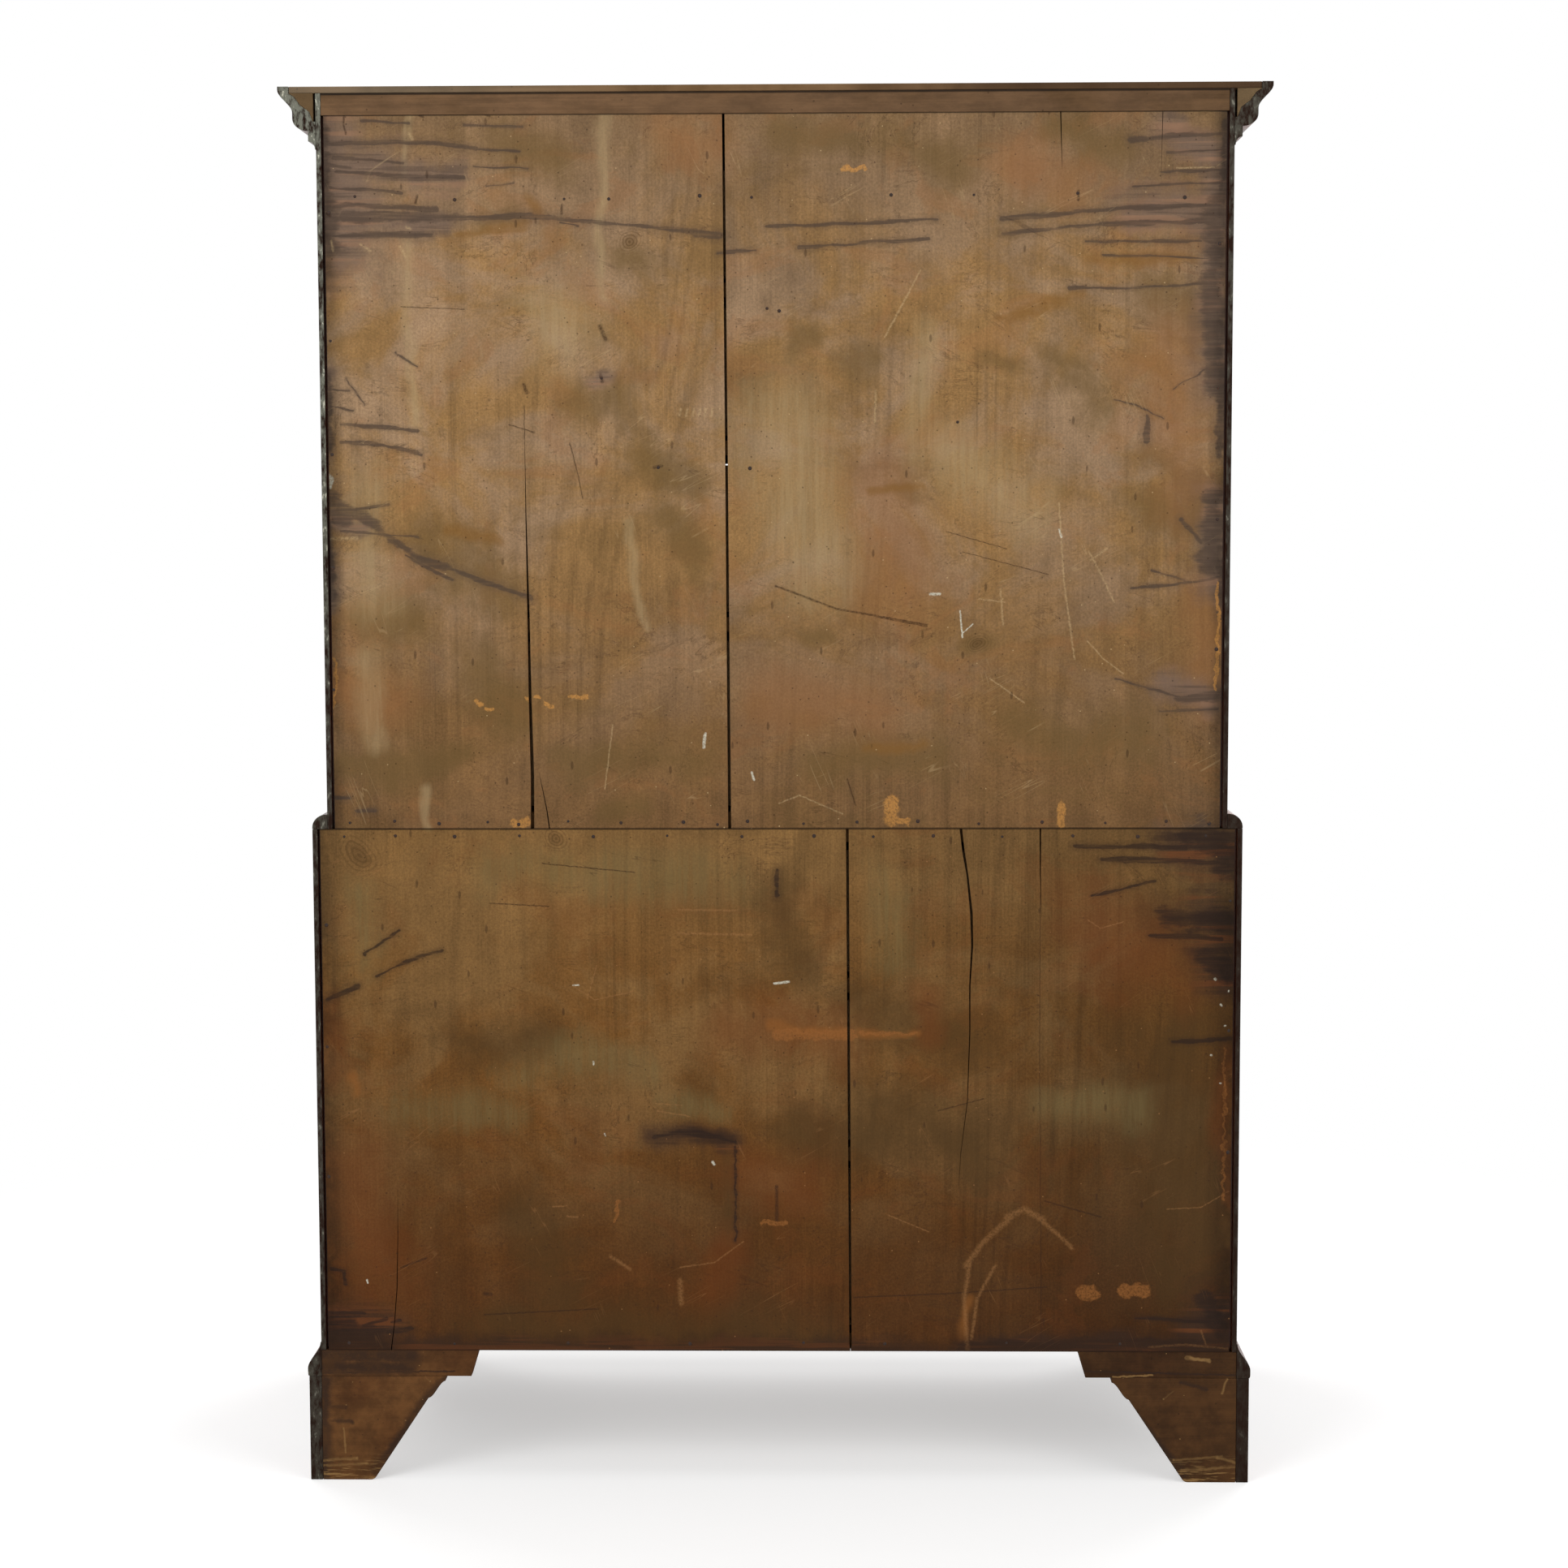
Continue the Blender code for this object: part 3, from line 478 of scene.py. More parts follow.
WHITE = {
    "white dash": (5, (867, 921), (869, 904)),
    "white tick": (3, (1183, 753), (1186, 785)),
    "white tick arm": (2, (1186, 780), (1199, 769)),
    "joint tick": (4, (926, 952), (929, 961)),
    "white curl": (4, (954, 1212), (972, 1210)),
    "left flake": (7, (402, 583), (409, 590), (406, 600)),
    "cool fleck": (5, (1146, 732), (1158, 732)),
    "long fleck": (3, (1305, 652), (1308, 662)),
    "low fleck": (3, (706, 1214), (713, 1214)),
    "lower fleck": (5, (878, 1432), (880, 1435)),
    "lower left fleck": (3, (452, 1577), (453, 1581)),
    "small fleck": (3, (731, 1308), (731, 1312)),
    "small fleck below": (3, (745, 1397), (746, 1399)),
    "edge fleck 1": (4, (1497, 1206), (1498, 1207)),
    "edge fleck 2": (4, (1504, 1238), (1505, 1239)),
    "edge fleck 3": (3.5, (1509, 1264), (1510, 1264)),
    "edge fleck 4": (3.5, (1492, 1300), (1493, 1300)),
    "edge fleck 5": (3, (1503, 1335), (1504, 1335)),
    "edge fleck 6": (3, (1514, 1222), (1514, 1221)),
}
ORANGE = {
    "yellow chips": (8, (1038, 209), (1066, 208)),
    "low chip 1": (8, (588, 866), (592, 868)),
    "low chip 2": (7, (600, 872), (604, 873)),
    "low chip 3": (8, (648, 860), (652, 861)),
    "low chip 4": (7, (661, 859), (664, 860)),
    "low chip 5": (9, (672, 867), (680, 870)),
    "low chip 6": (7, (703, 859), (724, 858)),
    "yellow tick": (6, (758, 1505), (762, 1482)),
    "bottom patch": (20, (1098, 988), (1098, 1010)),
    "bottom patch foot": (11, (1104, 1012), (1117, 1012)),
    "bottom right patch": (12, (1307, 991), (1307, 1014)),
    "bottom left patch": (13, (634, 1014), (649, 1014)),
    "orange stroke": (17, (958, 1275), (1048, 1275)),
    "orange stroke beyond": (5, (1060, 1273), (1128, 1274)),
    "edge glow": (4, (1509, 1290), (1508, 1480)),
    "left edge chips": (4, (412, 812), (414, 846), (409, 880)),
    "right edge chips": (5, (1500, 720), (1502, 770), (1498, 850)),
    "patch under the slot": (9, (940, 1506), (966, 1508)),
    "right patch": (22, (1334, 1592), (1346, 1594)),
    "right patch beyond": (20, (1384, 1591), (1410, 1590)),
}
SOFT_INK = {
    "top left corner": (110, (400, 170), (440, 250), (430, 320)),
    "under the rail": (60, (420, 200), (560, 210)),
    "left strokes": (44, (400, 272), (540, 268)),
    "left edge": (36, (398, 470), (402, 550)),
    "left smear": (40, (400, 640), (440, 648)),
    "left low edge": (40, (400, 680), (404, 740)),
    "right strokes": (80, (1400, 262), (1505, 270)),
    "right upper wash": (60, (1430, 150), (1510, 200)),
    "right edge": (64, (1500, 220), (1494, 400), (1500, 470)),
    "right clot": (70, (1490, 610), (1490, 720)),
    "right low clot": (50, (1440, 850), (1500, 860)),
    "lower corner": (80, (1440, 1050), (1520, 1050)),
    "lower right edge": (90, (1490, 1120), (1510, 1200)),
    "lower left corner": (80, (400, 1640), (480, 1640)),
    "bottom right corner": (70, (1470, 1640), (1510, 1620)),
    "bottom right edge": (34, (1170, 1660), (1510, 1656)),
    "lower bottom": (40, (500, 1664), (1000, 1664), (1500, 1664)),
    "scorch": (50, (800, 1398), (900, 1400)),
    "left knot": (30, (738, 470), (746, 466)),
}
SOFT_DARK = {
    "left of the joint": (60, (770, 318), (800, 330)),
    "left golden": (60, (590, 270), (620, 262)),
    "left of centre": (58, (975, 420), (1000, 420)),
    "left of centre low": (56, (1038, 446), (1066, 440)),
    "right of centre": (54, (1216, 438), (1240, 450)),
    "right of centre far": (44, (1290, 440), (1330, 446)),
    "left middle": (80, (720, 490), (770, 500)),
    "left middle low": (70, (800, 560), (860, 590)),
    "left lower": (80, (820, 640), (860, 690)),
    "right knot": (44, (1000, 786), (1032, 784)),
    "right knot beyond": (46, (1198, 792), (1222, 788)),
    "lower left": (90, (440, 760), (500, 768)),
    "low right": (110, (1260, 900), (1400, 906)),
    "right middle": (44, (1110, 600), (1130, 606)),
    "edge right": (80, (1400, 620), (1490, 640)),
    "left band": (110, (520, 680), (620, 720)),
    "left low band": (110, (600, 820), (640, 900)),
    "above the waist": (70, (700, 940), (860, 930)),
    "right above the waist": (70, (1000, 940), (1160, 930)),
    "top right": (70, (960, 160), (1060, 170)),
    "top far right": (60, (1300, 160), (1380, 180)),
    "lower grey": (96, (600, 1290), (660, 1287)),
    "lower middle": (130, (980, 1390), (1120, 1400)),
    "lower right shade": (200, (1440, 1300), (1480, 1560)),
    "lower bottom shade": (110, (600, 1630), (1000, 1650)),
    "board end shade": (34, (580, 1660), (660, 1662)),
    "lower centre band": (90, (960, 1100), (980, 1200)),
    "lower left shade": (110, (640, 1500), (700, 1590)),
    "scorch drop": (24, (898, 1420), (902, 1530)),
    "bottom bruise": (46, (744, 1000), (784, 994)),
    "bottom left smear": (54, (400, 946), (500, 950), (580, 930)),
    "bottom left smear core": (40, (396, 942), (440, 950), (480, 960)),
    "top centre": (90, (1100, 170), (1180, 200)),
    "top left centre": (70, (620, 180), (690, 200)),
    "right centre": (90, (1330, 470), (1350, 500)),
    "right upper": (90, (1430, 370), (1470, 390)),
    "right middle edge": (70, (1420, 570), (1450, 590)),
    "lower right centre": (120, (1050, 1240), (1200, 1290)),
    "lower right centre below": (110, (1100, 1350), (1220, 1440)),
}
AMBER = {
    "square patch": (30, (648, 246), (656, 256)),
    "square patch below": (30, (590, 281), (634, 279)),
    "under the long stroke": (16, (560, 284), (636, 286)),
    "right of the joint": (16, (1230, 390), (1290, 380)),
    "red smear": (16, (1076, 611), (1142, 590)),
    "right band": (26, (1330, 330), (1470, 322)),
    "right band end": (20, (1240, 392), (1330, 362)),
    "low band": (22, (1060, 925), (1140, 915)),
    "left of the split": (20, (560, 660), (620, 668)),
    "lower patch": (18, (950, 1272), (1050, 1278)),
    "lower far patch": (14, (1066, 1272), (1136, 1274)),
    "arch foot": (22, (1185, 1640), (1190, 1600)),
    "lower left patch": (22, (434, 1330), (440, 1350)),
}
SOFT_WARM = {
    "centre glow": (160, (1090, 600), (1110, 740)),
    "right edge red": (90, (1470, 730), (1486, 860)),
    "right red": (120, (1440, 420), (1450, 600)),
    "top amber": (90, (820, 160), (880, 180)),
    "right amber": (110, (1250, 210), (1310, 230)),
    "low amber": (120, (940, 860), (1080, 880)),
    "left low amber": (110, (420, 840), (480, 860)),
    "lower left orange": (170, (430, 1440), (460, 1560)),
    "lower orange": (110, (930, 1440), (990, 1470)),
    "lower centre orange": (110, (900, 1270), (1040, 1280)),
    "lower right red": (170, (1360, 1150), (1440, 1180)),
    "lower middle red": (60, (1140, 1230), (1150, 1280)),
    "left edge orange": (60, (408, 1240), (410, 1330)),
    "bottom orange": (90, (880, 1590), (900, 1540)),
    "right edge orange": (36, (1508, 1300), (1508, 1480)),
}
SOFT_PALE = {
    "light streak": (60, (1140, 420), (1130, 560)),
    "centre light": (150, (960, 520), (1000, 700)),
    "streak under the rail": (14, (512, 150), (506, 208)),
    "left light": (24, (504, 300), (508, 530)),
    "second light": (22, (742, 150), (746, 370)),
    "third light": (20, (770, 640), (790, 780)),
    "left edge light": (90, (446, 600), (450, 740)),
    "left of the split": (44, (452, 800), (458, 920)),
    "left foot light": (18, (522, 972), (524, 1012)),
    "left centre light": (110, (680, 380), (700, 420)),
    "right light": (120, (1180, 560), (1260, 640)),
    "lower green": (84, (496, 1366), (630, 1376)),
    "lower green arch": (72, (640, 1330), (720, 1300), (800, 1320)),
    "above the scorch": (54, (816, 1346), (890, 1362)),
    "lower haze": (72, (1300, 1366), (1400, 1366)),
    "lower top light": (90, (600, 1080), (900, 1080)),
    "by the joint": (90, (1090, 1080), (1092, 1180)),
    "lower knot light": (70, (440, 1100), (450, 1190)),
}
FOOT_INK_AND_SHADOW = {
    "left corner": (24, (384, 1692), (402, 1704)),
    "left edge": (16, (384, 1700), (386, 1812)),
    "left strokes": (6, (388, 1733), (426, 1734)),
    "left strokes below": (8, (386, 1748), (434, 1752)),
    "left crack": (2.5, (430, 1752), (472, 1754)),
    "left slope": (16, (548, 1702), (526, 1724), (464, 1812)),
    "right slope": (14, (1372, 1716), (1394, 1740), (1458, 1816)),
    "left shade": (24, (400, 1706), (398, 1815)),
    "right edge": (14, (1538, 1700), (1536, 1815)),
    "right smudge": (7, (1455, 1703), (1486, 1712)),
    "left batten": (26, (392, 1670), (508, 1671)),
    "left batten below": (24, (392, 1684), (504, 1685)),
    # Painted shadow: thin dark lines along the feet just under the battens.
    "left shadow under the batten": (3, (386, 1692), (560, 1690)),
    "right shadow under the batten": (3, (1330, 1690), (1530, 1695)),
}
FOOT_PALE = {
    "left bright strokes": (5, (396, 1799), (440, 1797)),
    "left bright strokes below": (5, (394, 1806), (452, 1803)),
    "left long streak": (3, (398, 1748), (500, 1750)),
    "left upright streak": (3, (424, 1760), (426, 1790)),
    "left fleck": (3, (524, 1697), (530, 1702)),
    "right tick": (4, (1512, 1700), (1506, 1717)),
    "right dots": (3, (1434, 1724), (1446, 1714)),
    "right splinters": (4, (1446, 1799), (1505, 1795)),
    "right splinters below": (5, (1456, 1812), (1522, 1808)),
    "right splinter edge": (5, (1500, 1796), (1534, 1806)),
    "right batten fleck": (5, (1462, 1673), (1490, 1677)),
    "right bracket top": (3, (1372, 1697), (1420, 1695)),
}

# Knots: a radius, then where the middle is. Seams: where a board's light steps, across in the photograph
KNOTS = {
    "left knot": (24, 443, 1047),
    "middle knot": (16, 687, 1034),
    "upper knot": (15, 785, 300),
    "low knot": (15, 1208, 790),
}
UPPER_SEAMS = {"first": 497, "second": 640, "third": 1143, "fourth": 1385}
LOWER_SEAMS = {"first": 565, "second": 800, "third": 945, "fourth": 1285}


def camera_axes():
    """The camera's right, up and forward directions."""
    level = math.cos(CAMERA_PITCH)
    forward = Vector((math.sin(CAMERA_YAW) * level, -math.cos(CAMERA_YAW) * level, -math.sin(CAMERA_PITCH)))
    flat = forward.cross(Vector((0, 0, 1))).normalized()
    rise = flat.cross(forward)
    right = flat * math.cos(CAMERA_ROLL) + rise * math.sin(CAMERA_ROLL)
    up = rise * math.cos(CAMERA_ROLL) - flat * math.sin(CAMERA_ROLL)
    return right, up, forward


def on_back(across, down):
    """Where a pixel of the photograph lies on the back, as X and Z."""
    right, up, forward = camera_axes()
    aside = (across - PHOTO_SIDE / 2) / CAMERA_FOCAL
    below = (down - PHOTO_SIDE / 2) / CAMERA_FOCAL
    ray = forward + right * aside - up * below
    hit = CAMERA_PLACE + ray * ((BACK - CAMERA_PLACE.y) / ray.y)
    return hit.x, hit.z


PIXEL = (CAMERA_PLACE.y - BACK) / CAMERA_FOCAL


def half_gap(millimetres):
    """Half of a gap that is given in millimetres, in metres."""
    return millimetres / 2000


def strokes(marks, low, high):
    """The straight runs of these marks that touch a board: each run's two ends and width in metres."""
    runs = []
    for width, *points in marks.values():
        places = [on_back(*point) for point in points]
        for start, end in zip(places, places[1:]):
            margin = width * PIXEL
            inside_x = min(start[0], end[0]) < high.x + margin and max(start[0], end[0]) > low.x - margin
            inside_z = min(start[1], end[1]) < high.z + margin and max(start[1], end[1]) > low.z - margin
            if inside_x and inside_z:
                runs.append((start, end, width * PIXEL))
    return runs


class Link:
    """A node's output socket. Arithmetic on it adds Math nodes to its tree."""

    def __init__(self, nodes, socket):
        self.nodes = nodes
        self.socket = socket

    def maths(self, operation, first, second=0.0):
        return self.nodes.node("ShaderNodeMath", {"operation": operation}, {0: first, 1: second})

    def __add__(self, other):
        return self.maths("ADD", self, other)

    def __radd__(self, other):
        return self.maths("ADD", other, self)

    def __sub__(self, other):
        return self.maths("SUBTRACT", self, other)

    def __rsub__(self, other):
        return self.maths("SUBTRACT", other, self)

    def __mul__(self, other):
        return self.maths("MULTIPLY", self, other)

    def __abs__(self):
        return self.maths("ABSOLUTE", self)

    def least(self, other):
        return self.maths("MINIMUM", self, other)

    def most(self, other):
        return self.maths("MAXIMUM", self, other)

    def sine(self):
        return self.maths("SINE", self)


class Nodes:
    """A shader tree, built one node at a time."""

    def __init__(self, tree):
        self.tree = tree

    def node(self, kind, settings=None, sockets=None, output=0):
        """Add a node. Its settings come first, then a value or a link for each of its sockets."""
        made = self.tree.nodes.new(kind)
        for key, value in (settings or {}).items():
            if key == "stops":
                self.set_stops(made.color_ramp, value)
            else:
                setattr(made, key, value)
        for key, value in (sockets or {}).items():
            self.feed(made.inputs[key], value)
        return None if output is None else Link(self, made.outputs[output])

    def feed(self, socket, value):
        if isinstance(value, Link):
            self.tree.links.new(value.socket, socket)
        elif socket.type == "RGBA":
            socket.default_value = (*value[:3], 1.0)
        else:
            socket.default_value = value

    def set_stops(self, ramp, stops):
        while len(ramp.elements) < len(stops):
            ramp.elements.new(1.0)
        for element, (position, colour) in zip(ramp.elements, stops):
            element.position = position
            element.color = (*colour, 1.0)

    def seen(self):
        """1 for rays from the camera, and for those that metal and glass send on to the backdrop."""
        ray = self.node("ShaderNodeLightPath", output="Is Camera Ray")
        outputs = ray.socket.node.outputs
        shiny = Link(self, outputs["Is Glossy Ray"]).most(Link(self, outputs["Is Transmission Ray"]))
        return ray.most(shiny)


class Finish(Nodes):
    """A material on the Principled shader. Layers of colour are laid over its ground."""

    def __init__(self, name, roughness=0.5, metallic=0.0, specular=0.5):
        self.material = bpy.data.materials.new(name)
        self.material.use_nodes = True
        super().__init__(self.material.node_tree)
        self.shader = self.tree.nodes["Principled BSDF"]
        start = {"Roughness": roughness, "Metallic": metallic, "Specular IOR Level": specular}
        for key, value in start.items():
            self.feed(self.shader.inputs[key], value)
        self.place = self.node("ShaderNodeTexCoord", output="Object")
        self.ground = None

    def scaled(self, scale=(1, 1, 1), shift=(0, 0, 0), place=None):
        """The place, stretched along each axis and then shifted."""
        sockets = {"Vector": place or self.place, "Scale": scale, "Location": shift}
        return self.node("ShaderNodeMapping", None, sockets)

    def axes(self):
        split = self.node("ShaderNodeSeparateXYZ", None, {0: self.place})
        return [Link(self, output) for output in split.socket.node.outputs]

    def noise(self, place, scale, detail=2.0, roughness=0.5, distortion=0.0):
        sockets = {"Vector": place, "Scale": scale, "Detail": detail, "Roughness": roughness}
        return self.node("ShaderNodeTexNoise", None, {**sockets, "Distortion": distortion})

    def smooth(self, value, low, high, start=0.0, end=1.0):
        """Start where the value is low and end where it is high, easing between."""
        sockets = {"Value": value, "From Min": low, "From Max": high, "To Min": start, "To Max": end}
        return self.node("ShaderNodeMapRange", {"interpolation_type": "SMOOTHSTEP"}, sockets)

    def blend(self, factor, first, second, how="MIX"):
        settings = {"data_type": "RGBA", "blend_type": how}
        return self.node("ShaderNodeMix", settings, {0: factor, 6: first, 7: second}, 2)

    def shade(self, colour, value):
        """A colour made lighter or darker by a value around 1."""
        return self.blend(1.0, colour, value, "MULTIPLY")

    def coat(self, cover, colour):
        """Lay a colour over the ground, as strongly as the cover says."""
        self.ground = self.blend(cover, self.ground, colour)

    def dim(self, value):
        """Make the ground lighter or darker by a value around 1."""
        self.ground = self.shade(self.ground, value)

    def moved(self, amount, scale, stretch=(1, 1, 1)):
        """The place, pushed about by a noise, so that edges drawn from it are ragged."""
        sockets = {"Vector": self.scaled(stretch), "Scale": scale, "Detail": 3.0}
        push = self.node("ShaderNodeTexNoise", None, sockets, "Color")
        start = self.vector("ADD", self.place, (-amount / 2, 0, -amount / 2))
        return self.vector("MULTIPLY_ADD", push, (amount, 0, amount), start)

    def vector(self, operation, first, second, third=(0, 0, 0), output="Vector"):
        sockets = {0: first, 1: second, 2: third}
        return self.node("ShaderNodeVectorMath", {"operation": operation}, sockets, output)

    def reach(self, place, start, end, width):
        """How far a place on the back is from the line of a mark, in half widths of the mark."""
        first, last = Vector((start[0], BOARD_BACK, start[1])), Vector((end[0], BOARD_BACK, end[1]))
        nearest = first
        if first != last:
            along = (last - first) / (last - first).length_squared
            along.y = -along.dot(first) / BOARD_BACK
            share = self.vector("DOT_PRODUCT", place, along, output="Value")
            nearest = self.node("ShaderNodeMix", {"data_type": "VECTOR"}, {0: share, 4: first, 5: last}, 1)
        return self.vector("DISTANCE", place, nearest, output="Value") * (2 / width)

    def nearest(self, runs, place):
        """How far a place is from the closest mark, in half widths of that mark."""
        closest = self.reach(place, *runs[0])
        for run in runs[1:]:
            closest = closest.least(self.reach(place, *run))
        return closest

    def hair_scratches(self, turn, seed):
        """Thin, sparse scratches, all leaning about the same way."""
        sockets = {"Vector": self.place, "Rotation": (0, turn, 0), "Location": (seed, 0, turn)}
        leaning = self.node("ShaderNodeMapping", None, sockets)
        waves = self.noise(self.scaled((0.06, 1, 1), place=leaning), 46.0, 2.0, 0.5, 0.25)
        line = self.smooth(abs(waves - 0.5), 0.0015, 0.006, 1.0, 0.0)
        return line * self.smooth(self.noise(leaning, 13.0, 3.0, 0.6), 0.56, 0.66)

    def specks(self, density, size, spread, stretch=(1, 1, 1)):
        """Small scattered dots: 1 in each dot."""
        sockets = {"Vector": self.scaled(stretch, (spread, spread, spread)), "Scale": density}
        dots = self.node("ShaderNodeTexVoronoi", None, sockets, "Distance")
        return self.smooth(dots, size * 0.6, size, 1.0, 0.0)

    def bump(self, height, strength, distance):
        sockets = {"Height": height, "Strength": strength, "Distance": distance}
        self.feed(self.shader.inputs["Normal"], self.node("ShaderNodeBump", None, sockets))

    def mixed(self, factor, first, second):
        """Two shaders, mixed."""
        return self.node("ShaderNodeMixShader", None, {0: factor, 1: first, 2: second})

    def surface(self, shader):
        self.feed(self.tree.nodes["Material Output"].inputs["Surface"], shader)

    def done(self, roughness=None):
        """The material, with the ground as its colour."""
        self.feed(self.shader.inputs["Base Color"], self.ground)
        if roughness is not None:
            self.feed(self.shader.inputs["Roughness"], roughness)
        return self.material


def colour_prop(name, description, red, green, blue):
    default = tone(red, green, blue)
    return FloatVectorProperty(
        name=name, description=description, subtype="COLOR", size=3, min=0, max=1, default=default
    )


def length_prop(name, description, default):
    return FloatProperty(
        name=name, description=description, subtype="DISTANCE", unit="LENGTH", min=0, default=default
    )


def number_prop(name, description, default):
    return FloatProperty(name=name, description=description, min=0, default=default)


class ChestColours(PropertyGroup):
    upper_pine: colour_prop("Upper pine", "Old softwood of the upper backboards", 153, 124, 94)
    upper_varnish: colour_prop("Upper varnish", "Yellowed varnish on the upper boards", 147, 112, 69)
    # The boards' top and foot tones are partly their own colour and partly painted shade and light.
    upper_top: colour_prop("Upper top", "The upper boards just below the rail", 124, 97, 68)
    upper_foot: colour_prop("Upper foot", "The upper boards just above the waist", 120, 88, 54)
    upper_warm: colour_prop("Upper warmth", "Warm patches on the upper boards", 146, 98, 58)
    upper_olive: colour_prop("Upper blotches", "Soft dark blotches on the upper boards", 106, 82, 46)
    upper_bloom: colour_prop("Upper bloom", "Pale bloom on the upper boards", 172, 148, 108)
    upper_amber: colour_prop("Upper amber", "Patches of old glue on the upper boards", 126, 88, 40)
    upper_ink: colour_prop("Upper ink", "Ink and stain on the upper boards", 74, 60, 50)
    upper_scrape: colour_prop("Upper scrapes", "Pale scrapes on the upper boards", 192, 164, 120)
    upper_chip: colour_prop("Upper chips", "Chips on the upper boards", 192, 136, 70)
    upper_wash: colour_prop("Upper wash", "Grey wash smeared over the corners", 116, 96, 84)
    upper_blush: colour_prop("Upper blush", "Pink wood that shows through the smears", 156, 116, 88)
    upper_tint: number_prop("Upper tint", "Strength of the upper boards' warm and olive areas", 0.24)
    upper_shade: number_prop("Upper shade", "Upper boards' light at one side", 0.90)
    upper_dirt: number_prop("Upper dirt", "Dirt along the upper boards' lower ends", 0.12)
    lower_pine: colour_prop("Lower pine", "Old softwood of the lower backboards", 124, 91, 51)
    lower_varnish: colour_prop("Lower varnish", "Reddened varnish on the lower boards", 112, 75, 34)
    # The boards' top and foot tones are partly their own colour and partly painted shade and light.
    lower_top: colour_prop("Lower top", "The lower boards just below the waist", 129, 96, 55)
    lower_foot: colour_prop("Lower foot", "The lower boards just above the feet", 80, 46, 17)
    lower_warm: colour_prop("Lower warmth", "Warm patches on the lower boards", 114, 60, 24)
    lower_olive: colour_prop("Lower blotches", "Soft dark blotches on the lower boards", 76, 54, 26)
    lower_bloom: colour_prop("Lower bloom", "Pale bloom on the lower boards", 118, 102, 64)
    lower_amber: colour_prop("Lower amber", "Patches of old glue on the lower boards", 138, 86, 38)
    lower_ink: colour_prop("Lower ink", "Ink and stain on the lower boards", 42, 29, 22)
    lower_scrape: colour_prop("Lower scrapes", "Pale scrapes on the lower boards", 156, 110, 66)
    lower_chip: colour_prop("Lower chips", "Chips on the lower boards", 142, 90, 44)
    lower_wash: colour_prop("Lower wash", "Dark wash smeared over the corners", 60, 42, 32)
    lower_blush: colour_prop("Lower blush", "Red wood that shows through the smears", 128, 72, 34)
    lower_tint: number_prop("Lower tint", "Strength of the lower boards' warm and olive areas", 0.14)
    lower_shade: number_prop("Lower shade", "Lower boards' light at one side", 0.66)
    lower_dirt: number_prop("Lower dirt", "Dirt along the lower boards' lower ends", 0.55)
    rail_pine: colour_prop("Rail", "The rail across the top of the back", 104, 78, 54)
    foot_pine: colour_prop("Foot pine", "Softwood across the back of the rear feet", 106, 70, 37)
    foot_grime: colour_prop("Foot grime", "Dirt worked into the feet", 78, 45, 20)
    foot_scrape: colour_prop("Foot scrapes", "Splinters and scrapes on the feet", 158, 122, 74)
    core_pine: colour_prop("Cornice core", "Softwood behind the cornice's facing", 104, 84, 58)
    top_pine: colour_prop("Top", "The planks of the top", 122, 94, 64)
    sawn_end: colour_prop("Sawn mahogany", "Mahogany's sawn and dirty back edges", 36, 20, 12)
    dust: colour_prop("Dust", "Grey dust and old paint on the back edges", 116, 116, 104)
    case_pine: colour_prop("Case pine", "Softwood inside the cases and on top", 126, 92, 56)
    grime: colour_prop("Grime", "Dirt worked into the softwood", 84, 60, 32)
    scratch: colour_prop("Scratch", "Dark scratches and holes", 52, 33, 20)
    white: colour_prop("White", "Flecks of old white paint", 208, 204, 184)
    mahogany_dark: colour_prop("Mahogany, dark", "The darkest of the veneer's figure", 44, 20, 11)
    mahogany: colour_prop("Mahogany", "The veneer's middle tone", 88, 42, 22)
    mahogany_light: colour_prop("Mahogany, light", "The lightest of the veneer's figure", 136, 74, 38)
    oak: colour_prop("Oak", "Drawer linings", 160, 122, 80)
    brass: colour_prop("Brass", "Polished brass", 210, 164, 104)
    tarnish: colour_prop("Tarnish", "Brass in its hollows", 112, 78, 44)
    iron: colour_prop("Iron", "Nails", 38, 30, 26)


class ChestSizes(PropertyGroup):
    edge: length_prop("Softened edge", "How far the boards' edges are worn round", 0.0006)
    bead_width: length_prop("Bead width", "Cockbead round each drawer front", 0.0032)
    bead_stand: length_prop("Bead stand", "How far the cockbead stands proud", 0.0018)
    nail_radius: length_prop("Nail radius", "Nail heads in the back", 0.0021)
    nail_stand: length_prop("Nail stand", "How far the nail heads stand proud", 0.0003)
    tail_length: length_prop("Dovetail length", "Dovetails that lap into the drawer fronts", 0.0100)
    keyhole: length_prop("Keyhole radius", "Round part of each keyhole", 0.00272)


class ChestStudio(PropertyGroup):
    sky: number_prop("Sky", "Light from all round", 0.35)
    lamps: number_prop("Lamps", "Share of the lamps' full power", 1.0)
    floor_reach: length_prop("Floor reach", "Radius of the floor", 6.0)


def finished(shape, name, smooth=False):
    """A mesh from a bmesh, with its faces turned outward."""
    bmesh.ops.recalc_face_normals(shape, faces=shape.faces)
    mesh = bpy.data.meshes.new(name)
    shape.to_mesh(mesh)
    shape.free()
    if smooth:
        mesh.shade_smooth()
    return mesh


def placed(name, data):
    """A new object in the scene."""
    made = bpy.data.objects.new(name, data)
    bpy.context.scene.collection.objects.link(made)
    return made


def soften(obj, width):
    """Round the edges a little, as wear does."""
    weld = obj.modifiers.new("weld", "WELD")
    weld.merge_threshold = WELD_GAP
    bevel = obj.modifiers.new("worn edges", "BEVEL")
    bevel.width = width
    bevel.segments = 2
    bevel.limit_method = "ANGLE"
    bevel.angle_limit = WORN_ANGLE


def add_piece(name, shape, finish, body, stands_for=(), smooth=False, worn=0.0):
    """A piece that rides on a body, takes the given finish and may have worn edges."""
    mesh = finished(shape, name, smooth)
    mesh.materials.append(finish)
    made = placed(name, mesh)
    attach(made, body)
    if stands_for:
        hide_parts(*stands_for)
    if worn:
        soften(made, worn)
    return made


